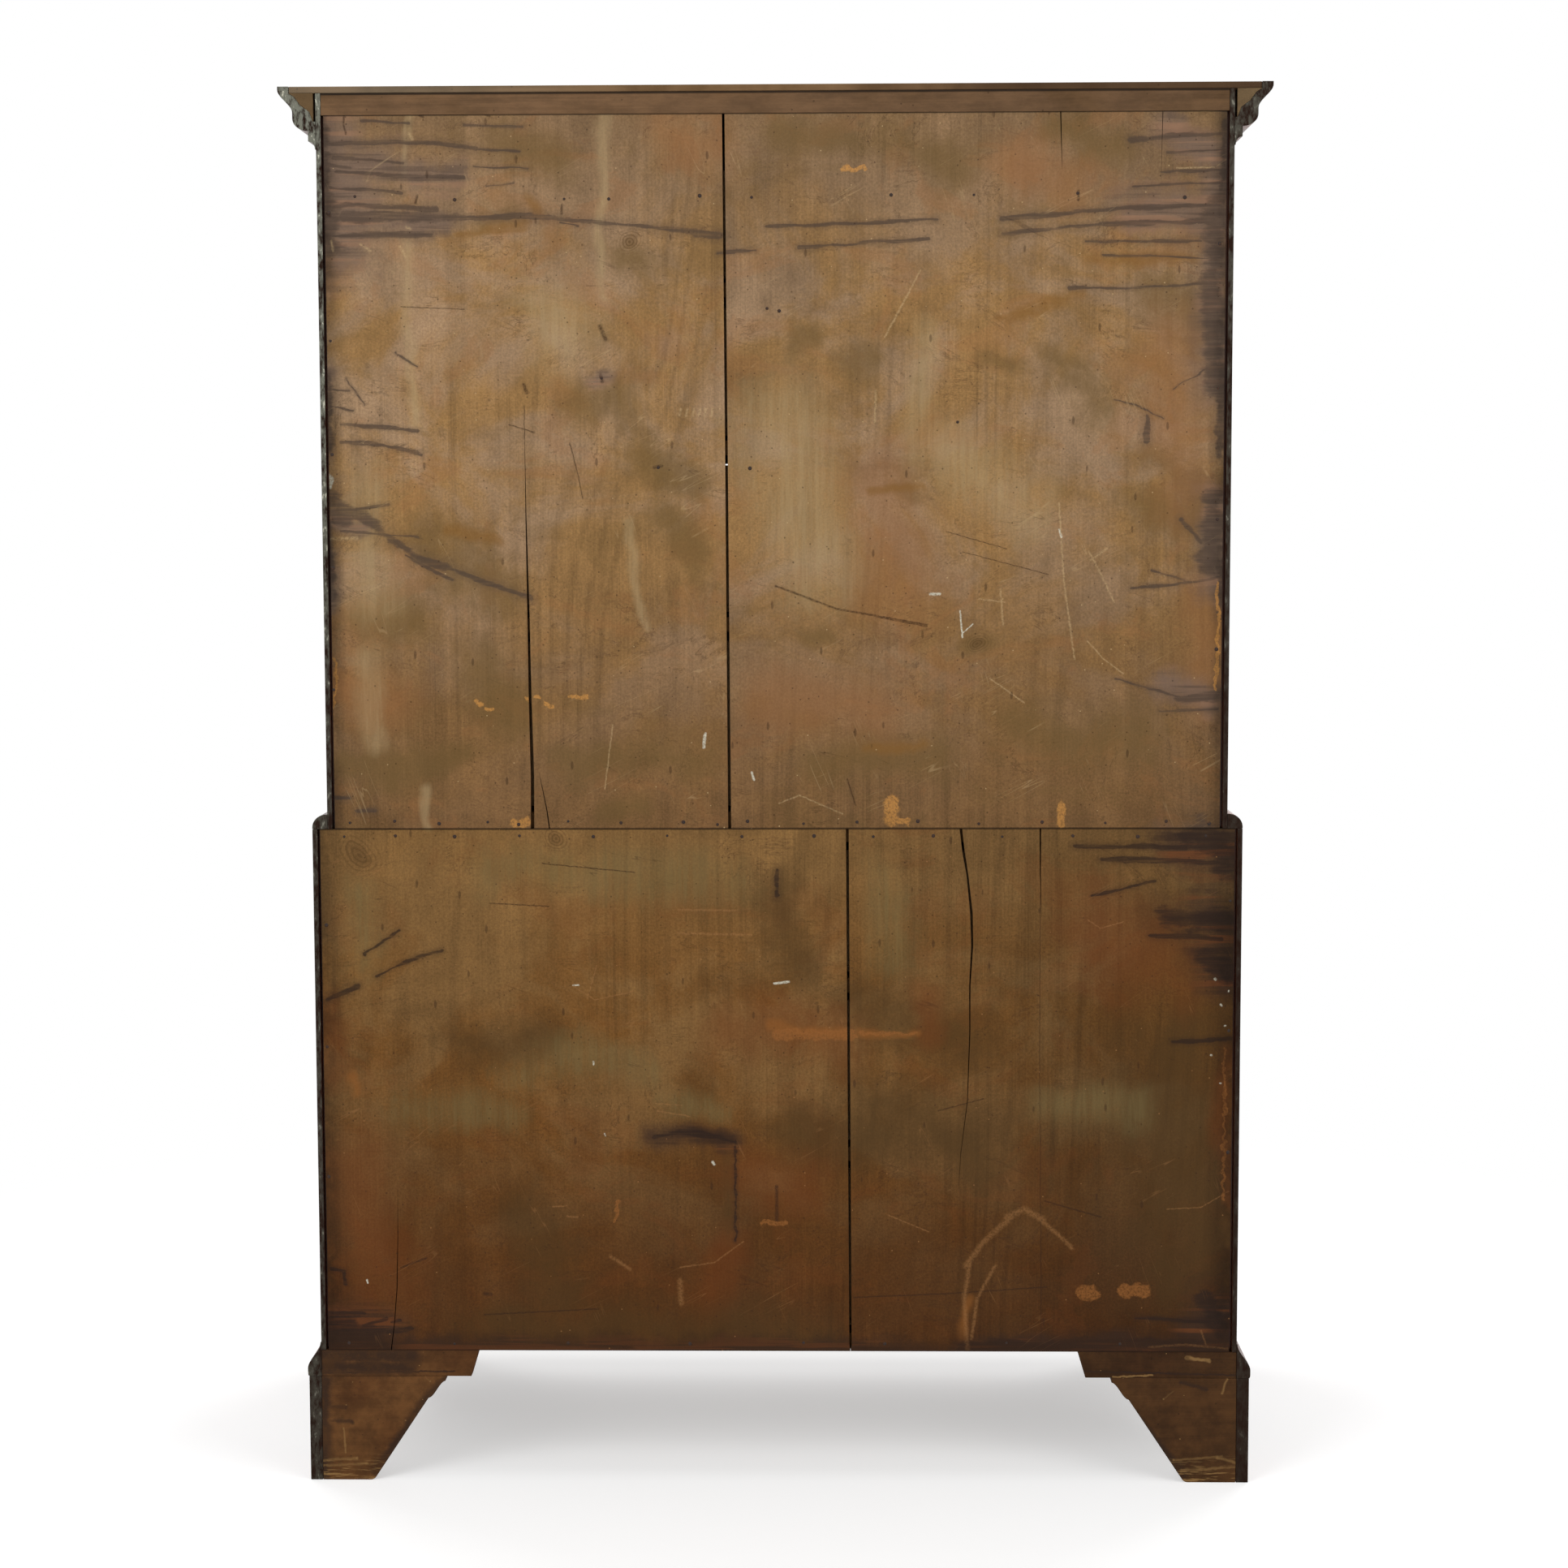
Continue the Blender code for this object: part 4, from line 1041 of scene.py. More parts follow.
def dress(name, finish, width):
    """Give a solid of the frame its finish, and soften its edges."""
    node = frame["nodes"][name]
    for holder in node.material_slots:
        holder.material = finish
    soften(node, width)


def block(shape, low, high):
    """Add a box between two corners."""
    low, high = Vector(low), Vector(high)
    made = bmesh.ops.create_cube(shape, size=1.0)
    bmesh.ops.scale(shape, vec=high - low, verts=made["verts"])
    bmesh.ops.translate(shape, vec=(low + high) / 2, verts=made["verts"])


def skin(shape, rings, closed=False):
    """Join rings of corners with faces. A closed run goes back to its first ring, and any other gets caps."""
    following = rings[1:] + rings[:1] if closed else rings[1:]
    for near, far in zip(rings, following):
        for index, corner in enumerate(near):
            after = (index + 1) % len(near)
            shape.faces.new((corner, near[after], far[after], far[index]))
    if not closed:
        shape.faces.new(rings[0])
        shape.faces.new(rings[-1])


def prism(shape, outline, near, far, lay=lambda across, up, depth: (across, depth, up)):
    """Add a drawn outline, thickened from one depth to another. The near side may have its own outline."""
    near_outline, far_outline = outline if isinstance(outline, tuple) else (outline, outline)
    rings = []
    for points, depth in ((near_outline, near), (far_outline, far)):
        rings.append([shape.verts.new(lay(across, up, depth)) for across, up in points])
    skin(shape, rings)


def ease(share):
    return share * share * (3 - 2 * share)


def ogee(start, end, steps):
    """An S between two points, upright at both ends."""
    points = []
    for step in range(steps + 1):
        share = step / steps
        across = start[0] + (end[0] - start[0]) * ease(share)
        points.append((across, start[1] + (end[1] - start[1]) * share))
    return points


def quarter(centre, reach, rise, start_degrees, end_degrees, steps):
    """Part of an ellipse, from one angle to another."""
    points = []
    for step in range(steps + 1):
        angle = math.radians(start_degrees + (end_degrees - start_degrees) * step / steps)
        points.append((centre[0] + reach * math.cos(angle), centre[1] + rise * math.sin(angle)))
    return points


def mitred_run(profile, half_width, front, back):
    """A profile of reach and height, run along both sides and the front."""
    shape = bmesh.new()
    rings = []
    for turn, at_front in ((1, False), (1, True), (-1, True), (-1, False)):
        ring = []
        for reach, height in profile:
            along = front - reach if at_front else back
            ring.append(shape.verts.new((turn * (half_width + reach), along, height)))
        rings.append(ring)
    skin(shape, rings)
    return shape


def turned(shape, profile, centre, sides):
    """Add a turned form: radii at distances from a centre, toward the back."""
    rings = []
    for radius, along in profile:
        ring = []
        for side in range(sides):
            angle = 2 * math.pi * side / sides
            offset = Vector((radius * math.cos(angle), along, radius * math.sin(angle)))
            ring.append(shape.verts.new(centre + offset))
        rings.append(ring)
    skin(shape, rings)


def tubed(line, radii, sides):
    """A closed tube along a line of points, with a radius at each."""
    shape = bmesh.new()
    rings = []
    for index, point in enumerate(line):
        before, after = line[max(index - 1, 0)], line[min(index + 1, len(line) - 1)]
        along = (after - before).normalized()
        side = along.cross(Vector((0, 1, 0))).normalized()
        out = side.cross(along)
        ring = []
        for step in range(sides):
            angle = 2 * math.pi * step / sides
            offset = side * math.cos(angle) + out * math.sin(angle)
            ring.append(shape.verts.new(point + offset * radii[index]))
        rings.append(ring)
    skin(shape, rings)
    return shape


def stretched(axis, share):
    """A scale that draws a pattern out along one axis."""
    scale = [1.0] * 3
    scale[axis] = share
    return scale


def pine_grain(wood, along, seed):
    """Softwood grain along an axis: the bump it gives, and a value around 1 that shades a colour."""
    shift = (seed * 3.7, seed * 1.3, seed * 5.1)
    fibres = wood.noise(wood.scaled(stretched(along, 0.012), shift), 620.0, 3.0, 0.6)
    bands = wood.noise(wood.scaled(stretched(along, 0.03), shift), 95.0, 3.0, 0.6)
    field = wood.noise(wood.scaled(stretched(along, 0.10), shift), 4.5, 2.0, 0.4, 0.4)
    late = wood.smooth((field * 150.0).sine(), 0.1, 1.0)
    zones = wood.smooth(wood.noise(wood.place, 6.0, 3.0), 0.40, 0.62, 0.45, 1.0)
    wood.bump(fibres * 0.5 - late * 0.3, 0.30, 0.0008)
    return 1.0 + ((fibres - 0.5) * 0.50 + (bands - 0.5) * 0.36 - late * 0.14) * zones


class Backboard(Finish):
    """Weathered softwood for one board of a case, with its stains, strokes, scrapes and knots."""

    def __init__(self, name, low, high, colours, case, seams, seed):
        super().__init__(name, specular=0.12)
        self.low, self.high, self.colours, self.seed = low, high, colours, seed
        keys = [key for key in colours.__annotations__ if key.startswith(case)]
        self.hue = {key.split("_", 1)[1]: getattr(colours, key) for key in keys}
        self.across, _, self.up = self.axes()
        self.shift = (seed * 2.1, 0.0, seed * 4.3)
        self.clouds = self.noise(self.scaled((0.8, 1.0, 1.0), self.shift), 6.5, 6.0, 0.62, 0.6)
        self.mottle = self.noise(self.scaled((1.0, 1.0, 0.8), (seed, 3.0, -seed)), 19.0, 6.0, 0.68)
        self.flakes = self.noise(self.place, 330.0, 4.0, 0.7)
        self.slow = self.moved(0.060, 9.0)
        self.age()
        self.tint()
        self.step_light(seams)
        self.stain()
        self.strike()
        self.scrape()
        self.knot()
        self.soil()
        self.done(self.smooth(self.clouds, 0.3, 0.8, 0.70, 0.86))

    def age(self):
        """The board's colour: varnish in clouds, other tones toward its ends that are partly its own and
        partly painted shade and light, painted shade toward one side, grime, flakes and grain.
        """
        hue, seed = self.hue, self.seed
        self.ground = self.blend(self.smooth(self.clouds, 0.40, 0.60), hue["pine"], hue["varnish"])
        # The tones toward the top and foot are partly the board's own and partly painted shade and light.
        self.coat(self.smooth(self.up, self.high.z - TOP_TONE, self.high.z, 0.0, 0.85), hue["top"])
        self.coat(self.smooth(self.up, self.low.z, self.low.z + FOOT_TONE, 0.92, 0.0), hue["foot"])
        # Painted shade: the board darkens toward one side, where less light falls on the back.
        self.dim(self.smooth(self.across, -UPPER_HALF, 0.10, hue["shade"], 1.0))
        depths = self.noise(self.scaled((0.6, 1.0, 1.1), (seed, 7.0, seed)), 9.0, 5.0, 0.6, 0.4)
        self.coat(self.smooth(depths, 0.54, 0.78, 0.0, 0.40), self.colours.grime)
        self.dim(self.smooth(self.mottle, 0.30, 0.72, 0.85, 1.12))
        self.dim(self.smooth(self.flakes, 0.30, 0.70, 0.80, 1.17))
        self.dim(pine_grain(self, 2, seed))

    def tint(self):
        """Warm and olive areas, and thin wisps of smoke."""
        hue, seed = self.hue, self.seed
        tints = self.noise(self.scaled((0.7, 1.0, 1.0), (seed * 1.7, 2.0, seed)), 10.0, 7.0, 0.68, 0.9)
        self.coat(self.smooth(tints, 0.53, 0.61, 0.0, hue["tint"]), hue["warm"])
        self.coat(self.smooth(tints, 0.37, 0.45, hue["tint"], 0.0), hue["olive"])
        smoke = self.noise(self.scaled((0.6, 1.0, 1.2), (seed, 5.0, -seed)), 6.0, 8.0, 0.70, 1.8)
        wisps = self.smooth(abs(smoke - 0.5), 0.0, 0.012, 1.0, 0.0) * self.smooth(self.mottle, 0.48, 0.60)
        self.coat(wisps * 0.42, self.colours.scratch)

    def step_light(self, seams):
        """Planks glued edge to edge: the light steps at each seam, down and up by turns."""
        for index, seam in enumerate(seams.values()):
            edge = on_back(seam, PHOTO_SIDE / 2)[0]
            light = 0.94 if index % 2 else 1.055
            self.dim(self.smooth(self.across, edge - SEAM_BLUR, edge + SEAM_BLUR, light, 1.0))

    def stain(self):
        """Soft areas of dark, warmth, bloom and old glue, and the wash smeared over the corners."""
        hue, seed = self.hue, self.seed
        billows = (self.mottle - 0.5) * 1.7
        dashes = self.noise(self.scaled((0.045, 1.0, 1.0), (seed, 1.0, seed)), 75.0, 3.0, 0.6)
        threads = self.noise(self.scaled((1.0, 1.0, 0.06), self.shift), 130.0, 4.0, 0.7)
        combed = self.smooth(threads, 0.40, 0.62, 0.64, 1.12)
        for marks, colour, strength in (
            (SOFT_DARK, hue["olive"], 0.62),
            (SOFT_WARM, hue["warm"], 0.40),
            (SOFT_PALE, hue["bloom"], 0.43),
            (AMBER, hue["amber"], 0.60),
            (SOFT_INK, hue["wash"], 0.68),
        ):
            runs = strokes(marks, self.low, self.high)
            if runs:
                zone = self.smooth(self.nearest(runs, self.slow) + billows, 0.0, 1.1, 1.0, 0.0)
                if marks is SOFT_PALE:
                    zone = zone * combed
                self.coat(zone * strength, colour)
                if marks is SOFT_INK:
                    self.coat(self.smooth(dashes, 0.40, 0.47, 0.55, 0.0) * zone, hue["blush"])
                    self.coat(self.smooth(dashes, 0.53, 0.59, 0.0, 0.55) * zone, hue["ink"])

    def strike(self):
        """Ragged, streaky strokes of ink, each with a faint halo."""
        streaks = self.noise(self.scaled((0.05, 1.0, 1.0), self.shift), 260.0, 4.0, 0.65)
        tatters = self.noise(self.scaled((0.35, 1.0, 1.0), self.shift), 60.0, 5.0, 0.65)
        ragged = self.moved(0.007, 70.0, (0.4, 1.0, 1.6))
        closest = self.nearest(strokes(INK, self.low, self.high), ragged) + (tatters - 0.5) * 2.4
        cover = self.smooth(closest, 0.35, 1.10, 1.0, 0.0) * self.smooth(streaks, 0.32, 0.56, 0.56, 0.84)
        halo = self.smooth(closest, 0.9, 2.6, 0.22, 0.0)
        self.coat(cover.most(halo), self.hue["ink"])

    def scrape(self):
        """Scratches, pale scrapes, chips and flecks of paint."""
        fine = self.moved(0.0026, 170.0)
        chipped = self.moved(0.0140, 105.0)
        patchy = self.smooth(self.flakes, 0.36, 0.58, 0.30, 1.0)
        for marks, colour, strength, core, place in (
            (SCRATCHES, self.colours.scratch, 0.80, 0.20, fine),
            (PALE, self.hue["scrape"], 0.46, 0.0, fine),
            (ORANGE, self.hue["chip"], 0.78, 0.60, chipped),
            (WHITE, self.colours.white, 0.90, 0.30, fine),
        ):
            runs = strokes(marks, self.low, self.high)
            if runs:
                cover = self.smooth(self.nearest(runs, place), core, 1.0, 1.0, 0.0)
                self.coat(cover * patchy * strength, colour)

    def knot(self):
        """Knots: rings of grain round a dark middle."""
        for width, *centre in KNOTS.values():
            place = on_back(*centre)
            if self.low.x < place[0] < self.high.x and self.low.z < place[1] < self.high.z:
                distance = self.reach(self.slow, place, place, width * 2 * PIXEL)
                lines = self.smooth((distance * 24.0).sine(), -0.2, 1.0)
                self.coat(lines * self.smooth(distance, 0.2, 1.6, 1.0, 0.0) * 0.60, self.colours.grime)
                self.coat(self.smooth(distance, 0.30, 0.80, 0.40, 0.0), self.colours.grime)

    def soil(self):
        """Hair scratches, dark borders, painted shadow lines along the top and foot, dirt along the foot, and
        scattered holes and flecks.
        """
        scratch, scrape, seed = self.colours.scratch, self.hue["scrape"], self.seed
        for turn, colour, strength in ((0.35, scratch, 0.34), (-0.5, scrape, 0.24), (1.2, scrape, 0.20)):
            self.coat(self.hair_scratches(turn, seed) * strength, colour)
        border = self.smooth(abs(self.across), BORDER_START, max(self.high.x, -self.low.x))
        self.dim(1.0 - border * self.smooth(self.mottle, 0.3, 0.6, 0.10, 0.60))
        # Painted shadow: a thin dark line along the board's top and foot, where it meets the rail above and
        # the parts below.
        for edge, inward in ((self.low.z, 1), (self.high.z, -1)):
            self.dim(self.smooth((self.up - edge) * inward, *EDGE_SHADOW_LINE, 0.30, 1.0))
        level = self.up + (self.mottle - 0.5) * 0.06
        dirt_low, dirt_high = (self.low.z + rise for rise in DIRT_RISE)
        self.coat(self.smooth(level, dirt_low, dirt_high, self.hue["dirt"], 0.0), scratch)
        self.coat(self.specks(75.0, 0.10, seed) * 0.55, scratch)
        self.coat(self.specks(34.0, 0.075, seed + 5, (1, 1, 0.34)) * 0.50, scratch)
        self.coat(self.specks(48.0, 0.05, seed + 9) * 0.6, scrape)


def pine_finish(name, colour, grime, along, seed, dirt):
    """Plain old softwood with its grain along one axis."""
    wood = Finish(name, 0.8, specular=0.15)
    clouds = wood.noise(wood.scaled(shift=(seed, seed, seed)), 8.0, 4.0, 0.6)
    wood.ground = wood.blend(wood.smooth(clouds, 0.42, 0.72, 0.0, dirt), colour, grime)
    wood.dim(pine_grain(wood, along, seed))
    wood.coat(wood.specks(60.0, 0.09, seed) * 0.5, PINE_HOLES)
    return wood


def rail_finish(colours):
    """The rail across the top of the back: lighter at one side, with a painted shadow line under the top."""
    rail = pine_finish("rail_pine", colours.rail_pine, colours.grime, 0, 6, 0.6)
    across, _, up = rail.axes()
    rail.dim(rail.smooth(across, -UPPER_HALF, UPPER_HALF, 0.92, 1.12))
    mottle = rail.noise(rail.scaled((0.4, 1.0, 1.0)), 60.0, 6.0, 0.68)
    rail.dim(rail.smooth(mottle, 0.34, 0.66, 0.82, 1.14))
    rail_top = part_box("rear_top_rail")[1].z
    # Painted shadow: a dark line along the rail's top edge, under the top board.
    rail.dim(rail.smooth(up, rail_top - 0.0032, rail_top - 0.0016, 1.0, 0.18))
    return rail.done()


def top_finish(colours):
    """The planks of the top: across the back they are stained at one side and bleached at the other."""
    wood = pine_finish("top_pine", colours.top_pine, colours.grime, 0, 26, 0.8)
    across, deep, _ = wood.axes()
    behind = wood.smooth(deep, BACK - 0.006, BACK - 0.002)
    wander = (wood.noise(wood.place, 9.0, 4.0, 0.6) - 0.5) * 0.8
    wood.coat(behind * wood.smooth(across + wander, -0.50, 0.10, 0.75, 0.0), colours.scratch)
    wood.coat(behind * wood.smooth(across, 0.10, 0.50, 0.0, 0.30), colours.dust)
    return wood.done()


def foot_finish(name, colours, seed):
    """The softwood across the back of the rear feet: darker at one side, scuffed and stained, with painted
    shadow lines under the battens.
    """
    wood = pine_finish(name, colours.foot_pine, colours.foot_grime, 0, seed, 0.7)
    across, _, up = wood.axes()
    wood.dim(wood.smooth(across, -0.30, 0.30, 0.50, 1.0))
    wood.dim(wood.smooth(up, BASE_LOW - 0.002, BASE_LOW + 0.002, 1.0, 0.84))
    low, high = Vector((-UPPER_HALF - 0.05, 0, 0)), Vector((UPPER_HALF + 0.05, 0, LOWER_BOTTOM))
    cloudy = wood.noise(wood.place, 34.0, 6.0, 0.7)
    wood.dim(wood.smooth(cloudy, 0.32, 0.68, 0.66, 1.16))
    fine = wood.moved(0.005, 110.0)
    patchy = wood.smooth(cloudy, 0.36, 0.56, 0.40, 1.0)
    # The ink colour also paints the shade and the shadow lines under the battens.
    for marks, colour, strength in (
        (FOOT_INK_AND_SHADOW, colours.lower_ink, 0.82),
        (FOOT_PALE, colours.foot_scrape, 0.62),
    ):
        closest = wood.nearest(strokes(marks, low, high), fine) + (cloudy - 0.5) * 2.0
        wood.coat(wood.smooth(closest, 0.3, 1.3, 1.0, 0.0) * patchy * strength, colour)
    splinters = wood.noise(wood.scaled((0.08, 1, 1), (seed, 0, 0)), 300.0, 4.0, 0.7)
    worn = wood.smooth(up, 0.004, 0.040, 0.75, 0.0) * wood.smooth(splinters, 0.52, 0.62)
    wood.coat(worn, colours.foot_scrape)
    wood.coat(wood.specks(70.0, 0.06, seed + 3) * 0.7, colours.foot_scrape)
    return wood.done()


def mahogany_ground(wood, colours, along, seed):
    """Veneer figure along an axis: its colour, its stripes and its pores."""
    shift = (seed * 1.9, seed * 2.7, seed * 0.8)
    figure = wood.noise(wood.scaled(stretched(along, 0.22), shift), 9.0, 4.0, 0.55, 1.4)
    stripes = wood.noise(wood.scaled(stretched(along, 0.05), shift), 70.0, 3.0, 0.55, 0.3)
    pores = wood.noise(wood.scaled(stretched(along, 0.035), shift), 900.0, 2.0, 0.5)
    stops = [(0.30, colours.mahogany_dark), (0.50, colours.mahogany), (0.70, colours.mahogany_light)]
    ground = wood.node("ShaderNodeValToRGB", {"stops": stops}, {0: figure * 0.72 + stripes * 0.28})
    return wood.shade(ground, wood.smooth(pores, 0.30, 0.52, 0.62, 1.06)), stripes, pores


def shelf_finish(name, front, colours):
    """Softwood with mahogany glued along its front."""
    wood = pine_finish(name, colours.case_pine, colours.grime, 0, 24, 0.7)
    _, deep, _ = wood.axes()
    facing, _, _ = mahogany_ground(wood, colours, 0, 25)
    glued = front + SHELF_FACING
    wood.ground = wood.blend(wood.smooth(deep, glued, glued + FACING_BLUR), facing, wood.ground)
    return wood.done(wood.smooth(deep, glued, glued + FACING_BLUR, 0.34, 0.80))


def dull_back(wood, colours, seed, dust):
    """Turn the sawn edges at the very back dull and dark, with dust on them, most of it high at one side."""
    across, deep, up = wood.axes()
    crust = wood.noise(wood.scaled((1, 1, 0.4), (seed, 0, 0)), 150.0, 5.0, 0.7)
    cover = wood.smooth(across, -0.1, 0.3, 0.30, 1.0) * wood.smooth(up, 0.85, 1.45, 0.25, 1.0) * dust
    dusty = wood.blend(wood.smooth(crust, 0.36, 0.60) * cover, colours.sawn_end, colours.dust)
    ends = wood.blend(wood.smooth(crust, 0.60, 0.66) * cover * 0.8, dusty, colours.white)
    sockets = {"Base Color": ends, "Roughness": 0.85, "Specular IOR Level": 0.1}
    dull = wood.node("ShaderNodeBsdfPrincipled", None, sockets)
    behind = wood.smooth(deep, BACK - 0.003, BACK - 0.001)
    wood.surface(wood.mixed(behind, Link(wood, wood.shader.outputs[0]), dull))


def mahogany_finish(name, colours, along, seed, gloss, back_dust=None):
    """Polished mahogany with a soft wax sheen. A piece that reaches the back has sawn, dusty edges there."""
    wood = Finish(name, specular=0.32)
    wood.ground, stripes, pores = mahogany_ground(wood, colours, along, seed)
    clouds = wood.noise(wood.scaled(shift=(seed, 0, 0)), 6.0, 3.0, 0.6)
    wood.dim(wood.smooth(clouds, 0.3, 0.7, 0.82, 1.12))
    wood.coat(wood.specks(130.0, 0.12, seed + 4) * 0.25, colours.mahogany_light)
    wood.shader.inputs["Coat Weight"].default_value = 0.10
    wood.shader.inputs["Coat Roughness"].default_value = 0.25
    wood.bump(stripes * 0.3 + pores * 0.4, 0.12, 0.0004)
    if back_dust is not None:
        dull_back(wood, colours, seed, back_dust)
    return wood.done(wood.smooth(clouds, 0.3, 0.7, gloss, gloss + 0.12))


def oak_finish(name, colours, along, seed):
    """Drawer lining, with open pores and a little dirt."""
    wood = Finish(name)
    fine = stretched(along, 0.02)
    pores = wood.noise(wood.scaled(fine, (seed, 0, 0)), 800.0, 3.0, 0.55)
    bands = wood.noise(wood.scaled(fine, (0, seed, 0)), 110.0, 3.0, 0.6)
    rays = wood.noise(wood.scaled(stretched(along, 0.25), (0, 0, seed)), 130.0, 1.0, 0.5, 0.8)
    clouds = wood.noise(wood.scaled(shift=(seed, seed, 0)), 7.0, 4.0, 0.6)
    wood.ground = wood.shade(colours.oak, 1.0 + (bands - 0.5) * 0.45)
    wood.dim(wood.smooth(pores, 0.30, 0.48, 0.66, 1.0))
    wood.coat(wood.smooth(rays, 0.62, 0.72, 0.0, 0.35), OAK_RAYS)
    wood.coat(wood.smooth(clouds, 0.45, 0.80, 0.0, 0.6), OAK_DIRT)
    wood.bump(pores, 0.25, 0.0005)
    return wood.done(wood.smooth(clouds, 0.3, 0.8, 0.62, 0.80))


def brass_finish(name, colours):
    """Old cast brass: bright where hands rub it and brown where they don't."""
    metal = Finish(name, metallic=1.0)
    spots = metal.noise(metal.scaled(), 220.0, 4.0, 0.65)
    film = metal.noise(metal.scaled(shift=(4, 4, 4)), 38.0, 3.0, 0.6)
    worn = metal.smooth(spots * 0.5 + film * 0.5, 0.40, 0.62)
    metal.ground = metal.blend(worn, colours.brass, colours.tarnish)
    metal.bump(spots, 0.15, 0.0003)
    return metal.done(metal.smooth(worn, 0.0, 1.0, 0.24, 0.46))


def iron_finish(name, colours):
    """Rusty nail heads."""
    metal = Finish(name, metallic=0.4)
    rust = metal.noise(metal.scaled(), 500.0, 3.0, 0.6)
    metal.ground = metal.blend(metal.smooth(rust, 0.45, 0.65), colours.iron, RUST)
    metal.bump(rust, 0.4, 0.0003)
    return metal.done(metal.smooth(rust, 0.3, 0.7, 0.62, 0.85))


def crack_sides(crack, edge):
    """The points down one side of a crack and back up its other side, starting on a board's edge."""
    places = []
    for index, (across, down, gap) in enumerate(crack):
        x, z = on_back(across, down)
        places.append((x, edge if index == 0 else z, half_gap(gap)))
    there = [(x - half, z) for x, z, half in places]
    back = [(x + half, z) for x, z, half in reversed(places)]
    return there + back


def board_outline(left, right, bottom_cracks, top_cracks):
    """A board's outline between two edges, each from the bottom up, with cracks running in from both ends."""
    (_, low), (_, high) = left[0], left[-1]
    outline = [left[0]]
    for crack in sorted(bottom_cracks, key=lambda points: on_back(*points[0][:2])[0]):
        outline += crack_sides(crack, low)
    outline += right
    for crack in sorted(top_cracks, key=lambda points: -on_back(*points[0][:2])[0]):
        outline += list(reversed(crack_sides(crack, high)))
    return outline + list(reversed(left[1:]))


def joint_edges(joint, low, high):
    """Both edges of a joint between boards, each from the bottom up."""
    edges = []
    for side in (-1, 1):
        edge = []
        for across, down, gap in reversed(joint):
            x, z = on_back(across, down)
            edge.append((x + side * half_gap(gap), z))
        edge[0], edge[-1] = (edge[0][0], low), (edge[-1][0], high)
        edges.append(edge)
    return edges


def add_nails(name, places, body, finish, sizes):
    """Hammered nail heads, each a little domed and out of round."""
    shape = bmesh.new()
    stand = sizes.nail_stand
    for index, point in enumerate(places):
        x, z = on_back(*point)
        radius = sizes.nail_radius * (0.8 + 0.4 * ((index * 7) % 5) / 4)
        profile = [(radius, -NAIL_DEPTH), (radius, stand * 0.5)]
        profile += [(radius * 0.6, stand), (radius * 0.15, stand * 1.2)]
        turned(shape, profile, Vector((x, BOARD_BACK, z)), 9)
    add_piece(name, shape, finish, body, smooth=True)


def make_back(context):
    """The backboards with their joints, cracks and nails, the rail over them and the battens below."""
    colours, sizes = context.scene.chest_colours, context.scene.chest_sizes
    seed = 2
    for case, joint, edge, low, high, seams, left_piece, right_piece in (
        (
            "upper", UPPER_JOINT, UPPER_BOARD_EDGE, UPPER_BOTTOM, UPPER_BOARD_TOP, UPPER_SEAMS,
            (
                "upper_split_board", UPPER_BOTTOM_CRACKS, {},
                ("upper_backboard_middle", "upper_backboard_right"),
            ),
            ("upper_wide_board", {}, UPPER_TOP_CRACKS, ("upper_backboard_left",)),
        ),
        (
            "lower", LOWER_JOINT, LOWER_BOARD_EDGE, LOWER_BOTTOM, LOWER_TOP, LOWER_SEAMS,
            ("lower_wide_board", LOWER_BOTTOM_CRACKS, {}, ("lower_backboard_right",)),
            ("lower_cracked_board", {}, LOWER_TOP_CRACKS, ("lower_backboard_left",)),
        ),
    ):
        joint_right, joint_left = joint_edges(joint, low, high)
        outer = [[(turn * edge, low), (turn * edge, high)] for turn in (-1, 1)]
        for left, right, piece in ((joint_left, outer[1], left_piece), (outer[0], joint_right, right_piece)):
            name, bottom_cracks, top_cracks, stands_for = piece
            corners = Vector((left[0][0], 0, low)), Vector((right[0][0], 0, high))
            finish = Backboard(f"{name}_finish", *corners, colours, case, seams, seed).material
            shape = bmesh.new()
            outline = board_outline(left, right, bottom_cracks.values(), top_cracks.values())
            prism(shape, outline, BOARD_FRONT, BOARD_BACK)
            add_piece(name, shape, finish, f"{case}_case", stands_for)
            seed += 1

    iron = iron_finish("nail_iron", colours)
    for case, rows in (("upper", UPPER_NAILS), ("lower", LOWER_NAILS)):
        places = [point for row in rows.values() for point in row]
        add_nails(f"{case}_back_nails", places, f"{case}_case", iron, sizes)

    dress("rear_top_rail", rail_finish(colours), sizes.edge)
    batten = foot_finish("batten_pine", colours, 7)
    for side in ("left", "right"):
        dress(f"foot_batten_{side}", batten, sizes.edge)


def cornice_outline(steps):
    """The cornice's outer members from the case up: cove, bead, ovolo, band, ogee and fillet."""
    cove_top = CORNICE_LOW + CORNICE_COVE_RISE
    bead_top = cove_top + CORNICE_BEAD
    ovolo_top = bead_top + CORNICE_OVOLO_RISE
    band_top = ovolo_top + CORNICE_BAND
    ogee_top = band_top + CORNICE_OGEE_RISE
    outline = [(FIT, CORNICE_LOW)]
    cove, ovolo = (CORNICE_COVE_REACH, CORNICE_COVE_RISE), (CORNICE_OVOLO_REACH, CORNICE_OVOLO_RISE)
    outline += quarter((CORNICE_BEAD_REACH, CORNICE_LOW), *cove, 180, 90, steps)
    outline += quarter((CORNICE_BEAD_REACH, ovolo_top), *ovolo, -90, 0, steps)
    outline += ogee((CORNICE_BAND_REACH, band_top), (CORNICE_PROJECTION, ogee_top), steps + 4)
    outline.append((CORNICE_PROJECTION, TOP))
    return outline


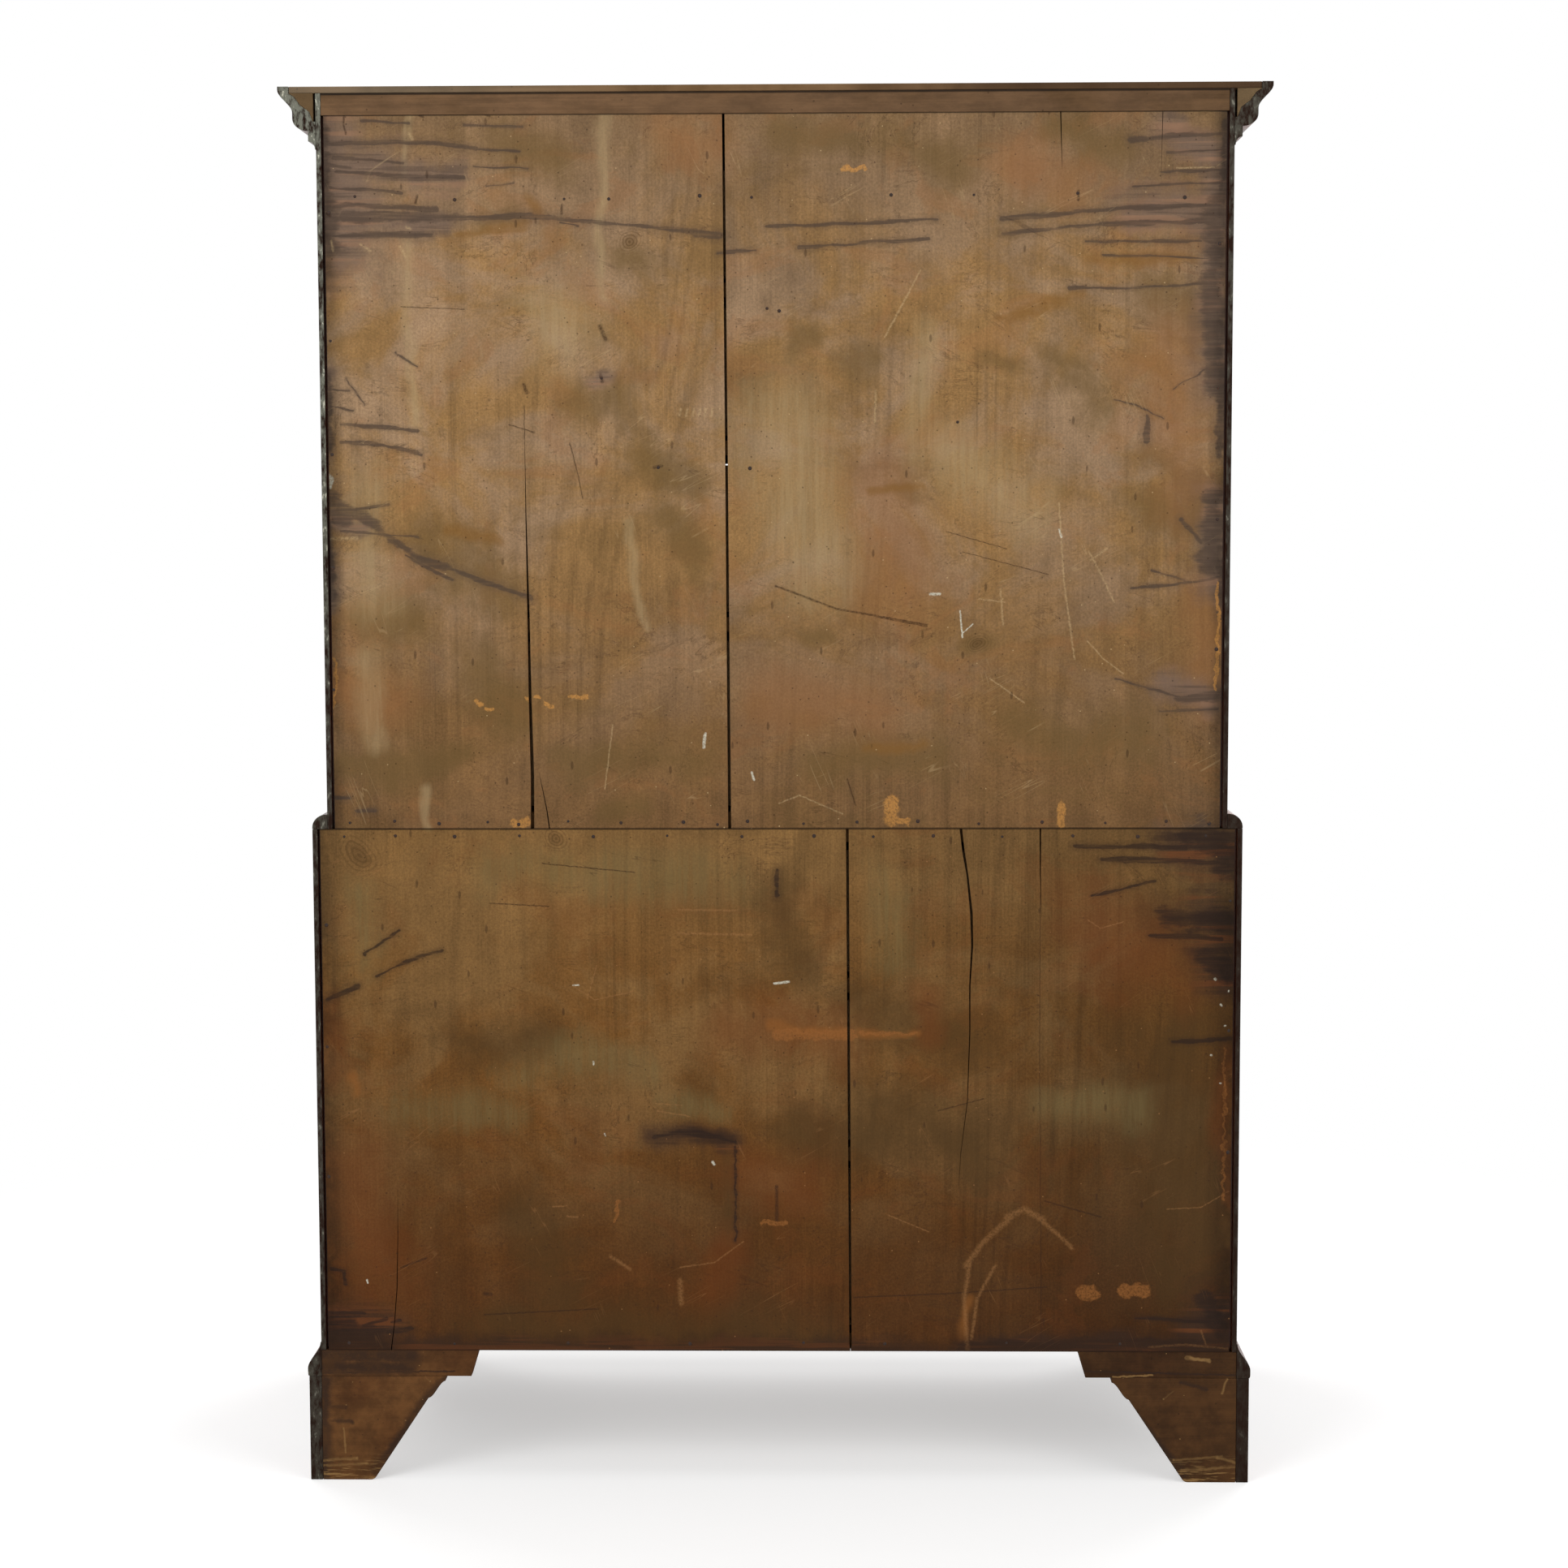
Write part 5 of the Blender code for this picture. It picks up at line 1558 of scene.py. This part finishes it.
def make_mouldings(context):
    """The cornice with its softwood core, the waist moulding and the base moulding."""
    colours = context.scene.chest_colours
    veneer = mahogany_finish("moulding_mahogany", colours, 0, 11, 0.32, 1.35)
    facing = cornice_outline(10) + [(CORE_EDGE[0][0], TOP)] + CORE_EDGE + [(FIT, CORE_EDGE[-1][1])]
    run = mitred_run(facing, UPPER_HALF, UPPER_FRONT, BACK)
    add_piece("cornice_facing", run, veneer, "upper_case", ("cornice",))

    core = [(CORE_GAP, CORE_EDGE[-1][1])]
    core += [(reach - HAIR, height + HAIR) for reach, height in reversed(CORE_EDGE[:-1])]
    core.append((CORE_GAP, UPPER_TOP))
    run = mitred_run(core, UPPER_HALF, UPPER_FRONT, BACK - HAIR)
    pine = pine_finish("core_pine", colours.core_pine, colours.grime, 1, 12, 0.8).done()
    add_piece("cornice_core", run, pine, "upper_case")

    fillet = WAIST_LOW + WAIST_FILLET
    reach, rise = WAIST_STEP - WAIST_FILLET, WAIST_RISE - WAIST_FILLET
    waist = [(FIT, WAIST_LOW), (WAIST_STEP, WAIST_LOW)]
    waist += quarter((WAIST_FILLET, fillet), reach, rise, 0, 90, 12)
    waist.append((FIT, WAIST_LOW + WAIST_RISE))
    run = mitred_run(waist, UPPER_HALF, UPPER_FRONT, BACK)
    add_piece("waist_run", run, veneer, "lower_case", ("waist_moulding",))

    base = [(FIT, BASE_LOW)]
    nose = (BASE_PROJECTION - FOOT_OUT, BASE_NOSE / 2)
    base += quarter((FOOT_OUT, BASE_LOW + BASE_NOSE / 2), *nose, -90, 0, 4)
    base += ogee((BASE_PROJECTION, BASE_LOW + BASE_NOSE), (BASE_QUIRK, BASE_HIGH), 16)
    base.append((FIT, BASE_HIGH))
    run = mitred_run(base, LOWER_HALF, LOWER_FRONT, BACK)
    add_piece("base_run", run, veneer, "lower_case", ("base_moulding",))


def bracket_outline():
    """A foot bracket as along and up from its corner: toe, slope, shoulder and lip."""
    slope_top = (FOOT_LENGTH - FOOT_SHOULDER, FOOT_HEIGHT - FOOT_LIP - FOOT_SHOULDER)
    slope = math.degrees(math.atan2(slope_top[1], slope_top[0] - FOOT_TOE))
    tangent = FOOT_TOE_RADIUS * math.tan(math.radians(slope / 2))
    toe_centre = (FOOT_TOE - tangent, FOOT_TOE_RADIUS)
    outline = [(0, FOOT_HEIGHT), (0, 0), (toe_centre[0], 0)]
    outline += quarter(toe_centre, FOOT_TOE_RADIUS, FOOT_TOE_RADIUS, -90, slope - 90, 8)[1:]
    for step in range(SHOULDER_STEPS + 1):
        share = step / SHOULDER_STEPS
        outline.append((slope_top[0] + FOOT_SHOULDER * share, slope_top[1] + FOOT_SHOULDER * ease(share)))
    outline.append((FOOT_LENGTH, FOOT_HEIGHT))
    return outline


def cut_back(outline, start):
    """An outline that begins a little way along from its corner."""
    return [(max(along, start), up) for along, up in outline]


def add_foot(node, turn, at_front, veneer, pine, block_pine):
    """A foot: two mitred brackets in front, or a side bracket and a softwood one behind, and a block."""
    outline = bracket_outline()
    corner = LOWER_HALF + FOOT_OUT
    corner_y = LOWER_FRONT - FOOT_OUT if at_front else BACK
    inward = 1 if at_front else -1

    def along_x(along, height, depth):
        return (turn * (corner - along), corner_y + inward * depth, height)

    def along_y(along, height, depth):
        return (turn * (corner - depth), corner_y + inward * along, height)

    shape = bmesh.new()
    if at_front:
        for seam, lay in ((0, along_x), (HAIR, along_y)):
            ends = cut_back(outline, seam), cut_back(outline, FRONT_BRACKET + seam)
            prism(shape, ends, 0, FRONT_BRACKET, lay)
    else:
        prism(shape, outline, 0, SIDE_BRACKET, along_y)
    add_piece(f"{node}_bracket", shape, veneer, "lower_case", (node,), worn=BOARD_WEAR)
    if not at_front:
        shape = bmesh.new()
        prism(shape, cut_back(outline, SIDE_BRACKET + FIT), HAIR, FRONT_BRACKET, along_x)
        add_piece(f"{node}_back_bracket", shape, pine, "lower_case", worn=BOARD_WEAR)
    face = LOWER_FRONT + FIT if at_front else BOARD_BACK - BATTEN_DEPTH - FIT
    start = face if at_front else min(face, BACK - FRONT_BRACKET - HAIR)
    ends = sorted((start, face + inward * FOOT_BLOCK))
    sides = sorted((turn * (LOWER_HALF - FIT), turn * (LOWER_HALF - FIT - FOOT_BLOCK)))
    shape = bmesh.new()
    block(shape, (sides[0], ends[0], BLOCK_LIFT), (sides[1], ends[1], LOWER_BOTTOM - FIT))
    add_piece(f"{node}_block", shape, block_pine, "lower_case", worn=BLOCK_WEAR)


def make_feet(context):
    """Two brackets and a block for each foot. The rear ones have plain softwood across the back."""
    colours = context.scene.chest_colours
    veneer = mahogany_finish("foot_mahogany", colours, 0, 15, 0.36, 0.90)
    pine = foot_finish("foot_pine", colours, 16)
    block_pine = pine_finish("block_pine", colours.case_pine, colours.grime, 2, 17, 0.7).done()
    for side, turn in (("left", -1), ("right", 1)):
        for end in ("front", "rear"):
            add_foot(f"foot_{end}_{side}", turn, end == "front", veneer, pine, block_pine)


def make_cases(context):
    """The side boards, shelves, rails and tops of both cases."""
    colours, edge = context.scene.chest_colours, context.scene.chest_sizes.edge
    side = mahogany_finish("side_mahogany", colours, 2, 21, 0.30, 1.00)
    rail = mahogany_finish("rail_mahogany", colours, 0, 22, 0.30)
    shelf = {}
    for case, front in (("upper", UPPER_FRONT), ("lower", LOWER_FRONT)):
        for label in ("left", "right"):
            dress(f"{case}_side_{label}", side, edge)
        shelf[case] = shelf_finish(f"{case}_shelf_wood", front, colours)
    for name in frame["nodes"]:
        if "_divider_" in name or name.endswith("_bottom_board") or name == "lower_top_board":
            dress(name, shelf[name.split("_")[0]], edge)
    dress("short_drawer_partition", shelf["upper"], edge)
    dress("front_top_rail", rail, edge)
    make_top(colours)


def make_top(colours):
    """The top in three planks with open joints between them."""
    low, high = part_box("top_board")
    shape = bmesh.new()
    start = low.y
    for share in PLANK_SHARES:
        end = start + (high.y - low.y) * share
        block(shape, (low.x, start, low.z), (high.x, end - PLANK_GAP, high.z))
        start = end
    pine = top_finish(colours)
    add_piece("top_planks", shape, pine, "upper_case", ("top_board",), worn=BOARD_WEAR)


def cockbead(shape, low, high, width, stand, depth):
    """Add a bead round a drawer front: four mitred lengths with a rounded nose."""
    nose = quarter((width / 2, -stand + width / 2), width / 2, width / 2, 180, 360, 8)
    profile = [(0, depth)] + nose + [(width, depth)]
    corners = [(low.x, low.z, 1, 1), (high.x, low.z, -1, 1), (high.x, high.z, -1, -1), (low.x, high.z, 1, -1)]
    rings = []
    for x, z, turn_x, turn_z in corners:
        ring = []
        for inset, out in profile:
            ring.append(shape.verts.new((x + turn_x * inset, low.y + out, z + turn_z * inset)))
        rings.append(ring)
    skin(shape, rings, closed=True)


def keyhole_outline(radius, grow):
    """A keyhole, round above and flared below, as across and up from the middle of its round part."""
    flare, drop = radius * KEYHOLE_FLARE + grow, -radius * KEYHOLE_DROP - grow
    return quarter((0, 0), radius + grow, radius + grow, *KEYHOLE_ARC, 20) + [(-flare, drop), (flare, drop)]


class Drawer:
    """Where the pieces of one drawer are, and a method that makes each of them."""

    def __init__(self, name, finishes, sizes):
        self.name, self.finishes, self.sizes = name, finishes, sizes
        self.low, self.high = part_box(f"{name}_box")
        self.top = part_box(f"{name}_front")[1].z
        self.face = self.low.y - FIT - FRONT_THICKNESS
        self.inside = self.face + FRONT_THICKNESS
        self.rebate = self.face + sizes.tail_length
        self.middle = (self.low.x + self.high.x) / 2
        self.key_height = (self.low.z + self.top) / 2 + KEYHOLE_RAISE
        self.inner_low, self.inner_high = self.low.x + DRAWER_SIDE + HAIR, self.high.x - DRAWER_SIDE - HAIR
        self.floor = self.low.z + DRAWER_FLOOR_LIFT

    def add(self, label, shape, finish, slot, stands_for=(), worn=0.0):
        name, finish = f"{self.name}_{label}", self.finishes[finish]
        return add_piece(name, shape, finish, self.name, stands_for, worn=worn)

    def add_panel(self):
        """The front, rebated all round for its bead, with a keyhole cut in it."""
        low, high, bead = self.low, self.high, self.sizes.bead_width
        shape = bmesh.new()
        block(shape, (low.x + bead, self.face, low.z + bead), (high.x - bead, self.rebate, self.top - bead))
        block(shape, (low.x + HAIR, self.rebate, low.z), (high.x - HAIR, self.inside, self.top))
        panel = self.add("panel", shape, "front", "mahogany", (f"{self.name}_front",))

        shape = bmesh.new()
        hole = [(self.middle + x, self.key_height + z) for x, z in keyhole_outline(self.sizes.keyhole, 0.0)]
        prism(shape, hole, self.face - KEYHOLE_START, self.face + KEYHOLE_DEPTH)
        cutter = placed(f"{self.name}_keyhole_cutter", finished(shape, self.name))
        cutter.hide_render = True
        cutter.hide_viewport = True
        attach(cutter, self.name)
        cut = panel.modifiers.new("keyhole", "BOOLEAN")
        cut.operation = "DIFFERENCE"
        cut.object = cutter

    def add_bead(self):
        """The bead round the front's edges."""
        shape = bmesh.new()
        corners = Vector((self.low.x, self.face, self.low.z)), Vector((self.high.x, self.face, self.top))
        cockbead(shape, *corners, self.sizes.bead_width, self.sizes.bead_stand, self.sizes.tail_length)
        self.add("bead", shape, "bead", "mahogany")

    def add_escutcheon(self):
        """A thin brass rim that lines the keyhole."""
        shape = bmesh.new()
        rings = []
        for grow, out in ((RIM, -RIM_DEPTH), (RIM, RIM_STAND), (0.0, RIM_STAND), (0.0, -RIM_DEPTH)):
            outline = keyhole_outline(self.sizes.keyhole, grow)
            ring = [(self.middle + x, self.face - out, self.key_height + z) for x, z in outline]
            rings.append([shape.verts.new(corner) for corner in ring])
        skin(shape, rings, closed=True)
        self.add("escutcheon", shape, "escutcheon", "brass")

    def add_sides(self):
        """Both sides, with the dovetails that lap into the front."""
        shape = bmesh.new()
        low, high = self.low, self.high
        count = max(3, round((high.z - low.z) / TAIL_PITCH))
        pitch = (high.z - low.z) / count
        for turn, outer in ((1, low.x), (-1, high.x)):
            edges = sorted((outer, outer + turn * DRAWER_SIDE))
            block(shape, (edges[0], low.y, low.z), (edges[1], high.y, high.z))
            for tail in range(count):
                centre = low.z + pitch * (tail + 0.5)
                wide, narrow, end = pitch * TAIL_WIDE, pitch * TAIL_NARROW, self.rebate + FIT
                outline = [(end, centre - wide), (low.y, centre - narrow)]
                outline += [(low.y, centre + narrow), (end, centre + wide)]
                prism(shape, outline, *edges, lambda along, up, depth: (depth, along, up))
        self.add("sides", shape, "side", "oak_lining", (f"{self.name}_box",), OAK_WEAR)

    def add_back(self):
        """The back, which stands on the floor and is lower than the sides."""
        shape = bmesh.new()
        start = (self.inner_low, self.high.y - DRAWER_SIDE, self.floor + DRAWER_FLOOR + HAIR)
        block(shape, start, (self.inner_high, self.high.y - HAIR, self.high.z - BACK_DROP))
        self.add("back", shape, "back", "oak_lining", worn=OAK_WEAR)

    def add_floor(self):
        """The floor's boards, and a slip under it along each side."""
        shape = bmesh.new()
        low, high, floor = self.low, self.high, self.floor
        width = self.inner_high - self.inner_low
        boards = 3 if width > WIDE_DRAWER else 2
        for board in range(boards):
            start = self.inner_low + width * board / boards
            end = self.inner_low + width * (board + 1) / boards
            block(shape, (start, low.y, floor), (end - FLOOR_GAP, high.y - HAIR, floor + DRAWER_FLOOR))
        for edge in (self.inner_low, self.inner_high - SLIP_WIDTH):
            front, back = low.y + SLIP_START, high.y - SLIP_END
            block(shape, (edge, front, low.z + HAIR), (edge + SLIP_WIDTH, back, floor - HAIR / 2))
        self.add("floor", shape, "floor", "oak_lining", worn=FLOOR_WEAR)

    def add_lock(self):
        """A lock plate on the inside of the front, with a screw near each corner."""
        shape = bmesh.new()
        plate_top = min(self.top - LOCK_MARGIN, self.key_height + LOCK_ABOVE)
        start = (self.middle - LOCK_HALF, self.inside + HAIR, self.key_height - LOCK_BELOW)
        block(shape, start, (self.middle + LOCK_HALF, self.inside + LOCK_DEPTH, plate_top))
        for turn in (-1, 1):
            for level in (-SCREW_BELOW, plate_top - self.key_height - SCREW_DROP):
                across, up = self.middle + turn * SCREW_ASIDE, self.key_height + level
                turned(shape, SCREW_HEAD, Vector((across, self.inside + LOCK_DEPTH, up)), 12)
        self.add("lock", shape, "lock", "brass", worn=LOCK_WEAR)


def make_drawers(context):
    """All eight drawers: front with bead and keyhole, dovetailed sides, back, floor and lock."""
    colours = context.scene.chest_colours
    finishes = {
        "front": mahogany_finish("drawer_mahogany", colours, 0, 31, 0.24),
        "bead": mahogany_finish("bead_mahogany", colours, 0, 32, 0.30),
        "side": oak_finish("oak_side", colours, 1, 33),
        "back": oak_finish("oak_back", colours, 0, 34),
        "floor": oak_finish("oak_floor", colours, 1, 35),
        "escutcheon": brass_finish("escutcheon_brass", colours),
        "lock": brass_finish("lock_brass", colours),
    }
    for name in DRAWERS:
        drawer = Drawer(name, finishes, context.scene.chest_sizes)
        drawer.add_panel()
        drawer.add_bead()
        drawer.add_escutcheon()
        drawer.add_sides()
        drawer.add_back()
        drawer.add_floor()
        drawer.add_lock()


def post_profile():
    """A pull post from the drawer's face out, as radius and distance: rose, neck, collar and pommel."""
    profile = [(ROSE_RADIUS - inset, out) for inset, out in ROSE_EDGE] + POST_NECK + POST_COLLAR
    for radius, out in quarter((0, 0), POMMEL_RADIUS, POMMEL_LENGTH / 2, *POMMEL_ARC, 10):
        profile.append((radius, -PULL_REACH - out))
    return profile


def bail_half(steps):
    """Half of a bail's line, as across and down from its pin."""
    shoulder = POST_SPACING / 2 + POMMEL_RADIUS + SHOULDER_GAP
    arm = shoulder + ELBOW
    neck = (arm - NECK_IN, -ELBOW - NECK_FALL)
    line = [(POST_SPACING / 2 - PIN_END, 0), (shoulder - SHOULDER_SOFT, 0)]
    line += quarter((shoulder, -ELBOW), ELBOW, ELBOW, 90, 0, steps)
    line += ogee((arm, -ELBOW), neck, 2 * steps)[1:]
    corner = (neck[0] - BAIL_CORNER, neck[1])
    line += quarter(corner, BAIL_CORNER, BAIL_DROP + neck[1], 0, -90, 2 * steps)[1:]
    return line


def make_pulls(context):
    """Swan-neck bails on their hinges, and the turned posts that hold them."""
    brass = brass_finish("pull_brass", context.scene.chest_colours)
    half = bail_half(5)
    flat = half + [(-across, down) for across, down in reversed(half)]
    radii = [PIN_RADIUS + (GRIP_RADIUS - PIN_RADIUS) * (-down / BAIL_DROP) ** 1.5 for _, down in flat]
    posts = {}
    for joint in PULLS:
        bail, axis = joint["child"], Vector(joint["pos_m"])
        line = [axis + Vector((across, 0, down)) for across, down in flat]
        add_piece(f"{bail}_bail", tubed(line, radii, 14), brass, bail, (bail,), smooth=True)
        posts.setdefault(joint["parent"], []).append(axis)
    for drawer, centres in posts.items():
        shape = bmesh.new()
        for axis in centres:
            for turn in (-1, 1):
                centre = axis + Vector((turn * POST_SPACING / 2, PULL_REACH, 0))
                turned(shape, post_profile(), centre, 24)
        add_piece(f"{drawer}_posts", shape, brass, drawer, smooth=True)


def add_lamp(name, place, size, power):
    """A square lamp, turned toward the middle of the chest."""
    lamp = bpy.data.lights.new(name, "AREA")
    lamp.shape = "SQUARE"
    lamp.size = size
    lamp.energy = power
    made = placed(name, lamp)
    made.location = place
    made.rotation_euler = (Vector((0, 0, CHEST_MIDDLE)) - Vector(place)).to_track_quat("-Z", "Y").to_euler()


def make_floor(studio):
    """A pale floor that keeps the shadow near the chest and is plain white beyond it."""
    shape = bmesh.new()
    bmesh.ops.create_circle(shape, cap_ends=True, segments=96, radius=studio.floor_reach)
    floor = placed("studio_floor", finished(shape, "studio_floor"))
    pale = Finish("floor_pale", 0.9, specular=0.0)
    pale.ground = (FLOOR_GREY, FLOOR_GREY, FLOOR_GREY)
    floor.data.materials.append(pale.done())
    far = pale.vector("LENGTH", pale.place, (0, 0, 0), output="Value")
    seen = pale.seen()
    shader = Link(pale, pale.shader.outputs[0])
    glow = pale.node("ShaderNodeEmission", None, {"Color": (1, 1, 1), "Strength": FLOOR_GLOW})
    lifted = pale.node("ShaderNodeAddShader", None, {0: shader, 1: glow})
    white = pale.node("ShaderNodeEmission", None, {"Color": (1, 1, 1), "Strength": 1.0})
    near = pale.mixed(seen, shader, lifted)
    pale.surface(pale.mixed(pale.smooth(far, *SHADOW_FADE) * seen, near, white))


def make_sky(studio):
    """Even light from all round, in front of plain white."""
    world = bpy.data.worlds.new("studio_sky")
    bpy.context.scene.world = world
    world.use_nodes = True
    world.node_tree.nodes.clear()
    sky = Nodes(world.node_tree)
    light = sky.node("ShaderNodeBackground", None, {"Color": (1, 1, 1), "Strength": studio.sky})
    white = sky.node("ShaderNodeBackground", None, {"Color": (1, 1, 1), "Strength": 1.0})
    mixed = sky.node("ShaderNodeMixShader", None, {0: sky.seen(), 1: light, 2: white})
    sky.node("ShaderNodeOutputWorld", None, {"Surface": mixed}, None)


def make_studio(context):
    """Floor, sky, lamps all round and the photograph's camera."""
    studio = context.scene.chest_studio
    make_floor(studio)
    make_sky(studio)
    for name, place, size, power in (
        ("back_left_lamp", (2.3, 3.2, 3.0), 2.2, 80),
        ("back_right_lamp", (-2.9, 2.9, 2.2), 2.2, 56),
        ("front_left_lamp", (-2.3, -3.2, 3.0), 2.2, 80),
        ("front_right_lamp", (2.9, -2.9, 2.2), 2.2, 56),
        ("top_lamp", (0, 0, 4.2), 3.0, 50),
    ):
        add_lamp(name, place, size, power * studio.lamps)

    right, up, forward = camera_axes()
    camera = bpy.data.cameras.new("photo_camera")
    camera.sensor_width = SENSOR
    camera.lens = CAMERA_FOCAL * SENSOR / PHOTO_SIDE
    camera.clip_start = 0.05
    made = placed("photo_camera", camera)
    turn = Matrix((right, up, -forward)).transposed()
    made.matrix_world = Matrix.Translation(CAMERA_PLACE) @ turn.to_4x4()
    context.scene.camera = made
    context.scene.view_settings.view_transform = "Standard"


class CHEST_OT_back(Operator):
    """Make the backboards, their cracks and nails, the rear rail and the battens"""

    bl_idname = "chest.back"
    bl_label = "Back"

    def execute(self, context):
        make_back(context)
        return {"FINISHED"}


class CHEST_OT_cases(Operator):
    """Finish the side boards, shelves and rails, and plank the top"""

    bl_idname = "chest.cases"
    bl_label = "Cases"

    def execute(self, context):
        make_cases(context)
        return {"FINISHED"}


class CHEST_OT_mouldings(Operator):
    """Run the cornice, waist moulding and base moulding"""

    bl_idname = "chest.mouldings"
    bl_label = "Mouldings"

    def execute(self, context):
        make_mouldings(context)
        return {"FINISHED"}


class CHEST_OT_feet(Operator):
    """Make the four bracket feet"""

    bl_idname = "chest.feet"
    bl_label = "Feet"

    def execute(self, context):
        make_feet(context)
        return {"FINISHED"}


class CHEST_OT_drawers(Operator):
    """Make the eight drawers with their beads, keyholes and locks"""

    bl_idname = "chest.drawers"
    bl_label = "Drawers"

    def execute(self, context):
        make_drawers(context)
        return {"FINISHED"}


class CHEST_OT_pulls(Operator):
    """Make the bails and their posts"""

    bl_idname = "chest.pulls"
    bl_label = "Pulls"

    def execute(self, context):
        make_pulls(context)
        return {"FINISHED"}


class CHEST_OT_studio(Operator):
    """Make the floor, the light and the camera"""

    bl_idname = "chest.studio"
    bl_label = "Studio"

    def execute(self, context):
        make_studio(context)
        return {"FINISHED"}


MAKERS = (
    CHEST_OT_back,
    CHEST_OT_cases,
    CHEST_OT_mouldings,
    CHEST_OT_feet,
    CHEST_OT_drawers,
    CHEST_OT_pulls,
    CHEST_OT_studio,
)


class CHEST_PT_maker(Panel):
    """The chest's sizes, colours and makers"""

    bl_label = "Chest on chest"
    bl_space_type = "VIEW_3D"
    bl_region_type = "UI"
    bl_category = "Chest"

    def draw(self, context):
        layout = self.layout
        for maker in MAKERS:
            layout.operator(maker.bl_idname)
        scene = context.scene
        for group in (scene.chest_sizes, scene.chest_colours, scene.chest_studio):
            for key in group.__annotations__:
                layout.prop(group, key)


GROUPS = {"chest_colours": ChestColours, "chest_sizes": ChestSizes, "chest_studio": ChestStudio}


def register():
    for name, group in GROUPS.items():
        bpy.utils.register_class(group)
        setattr(bpy.types.Scene, name, PointerProperty(type=group))
    for maker in (*MAKERS, CHEST_PT_maker):
        bpy.utils.register_class(maker)


def unregister():
    for maker in reversed((*MAKERS, CHEST_PT_maker)):
        bpy.utils.unregister_class(maker)
    for name, group in GROUPS.items():
        delattr(bpy.types.Scene, name)
        bpy.utils.unregister_class(group)


def main():
    register()
    bpy.ops.chest.back()
    bpy.ops.chest.cases()
    bpy.ops.chest.mouldings()
    bpy.ops.chest.feet()
    bpy.ops.chest.drawers()
    bpy.ops.chest.pulls()
    bpy.ops.chest.studio()


if __name__ == "__main__":
    main()
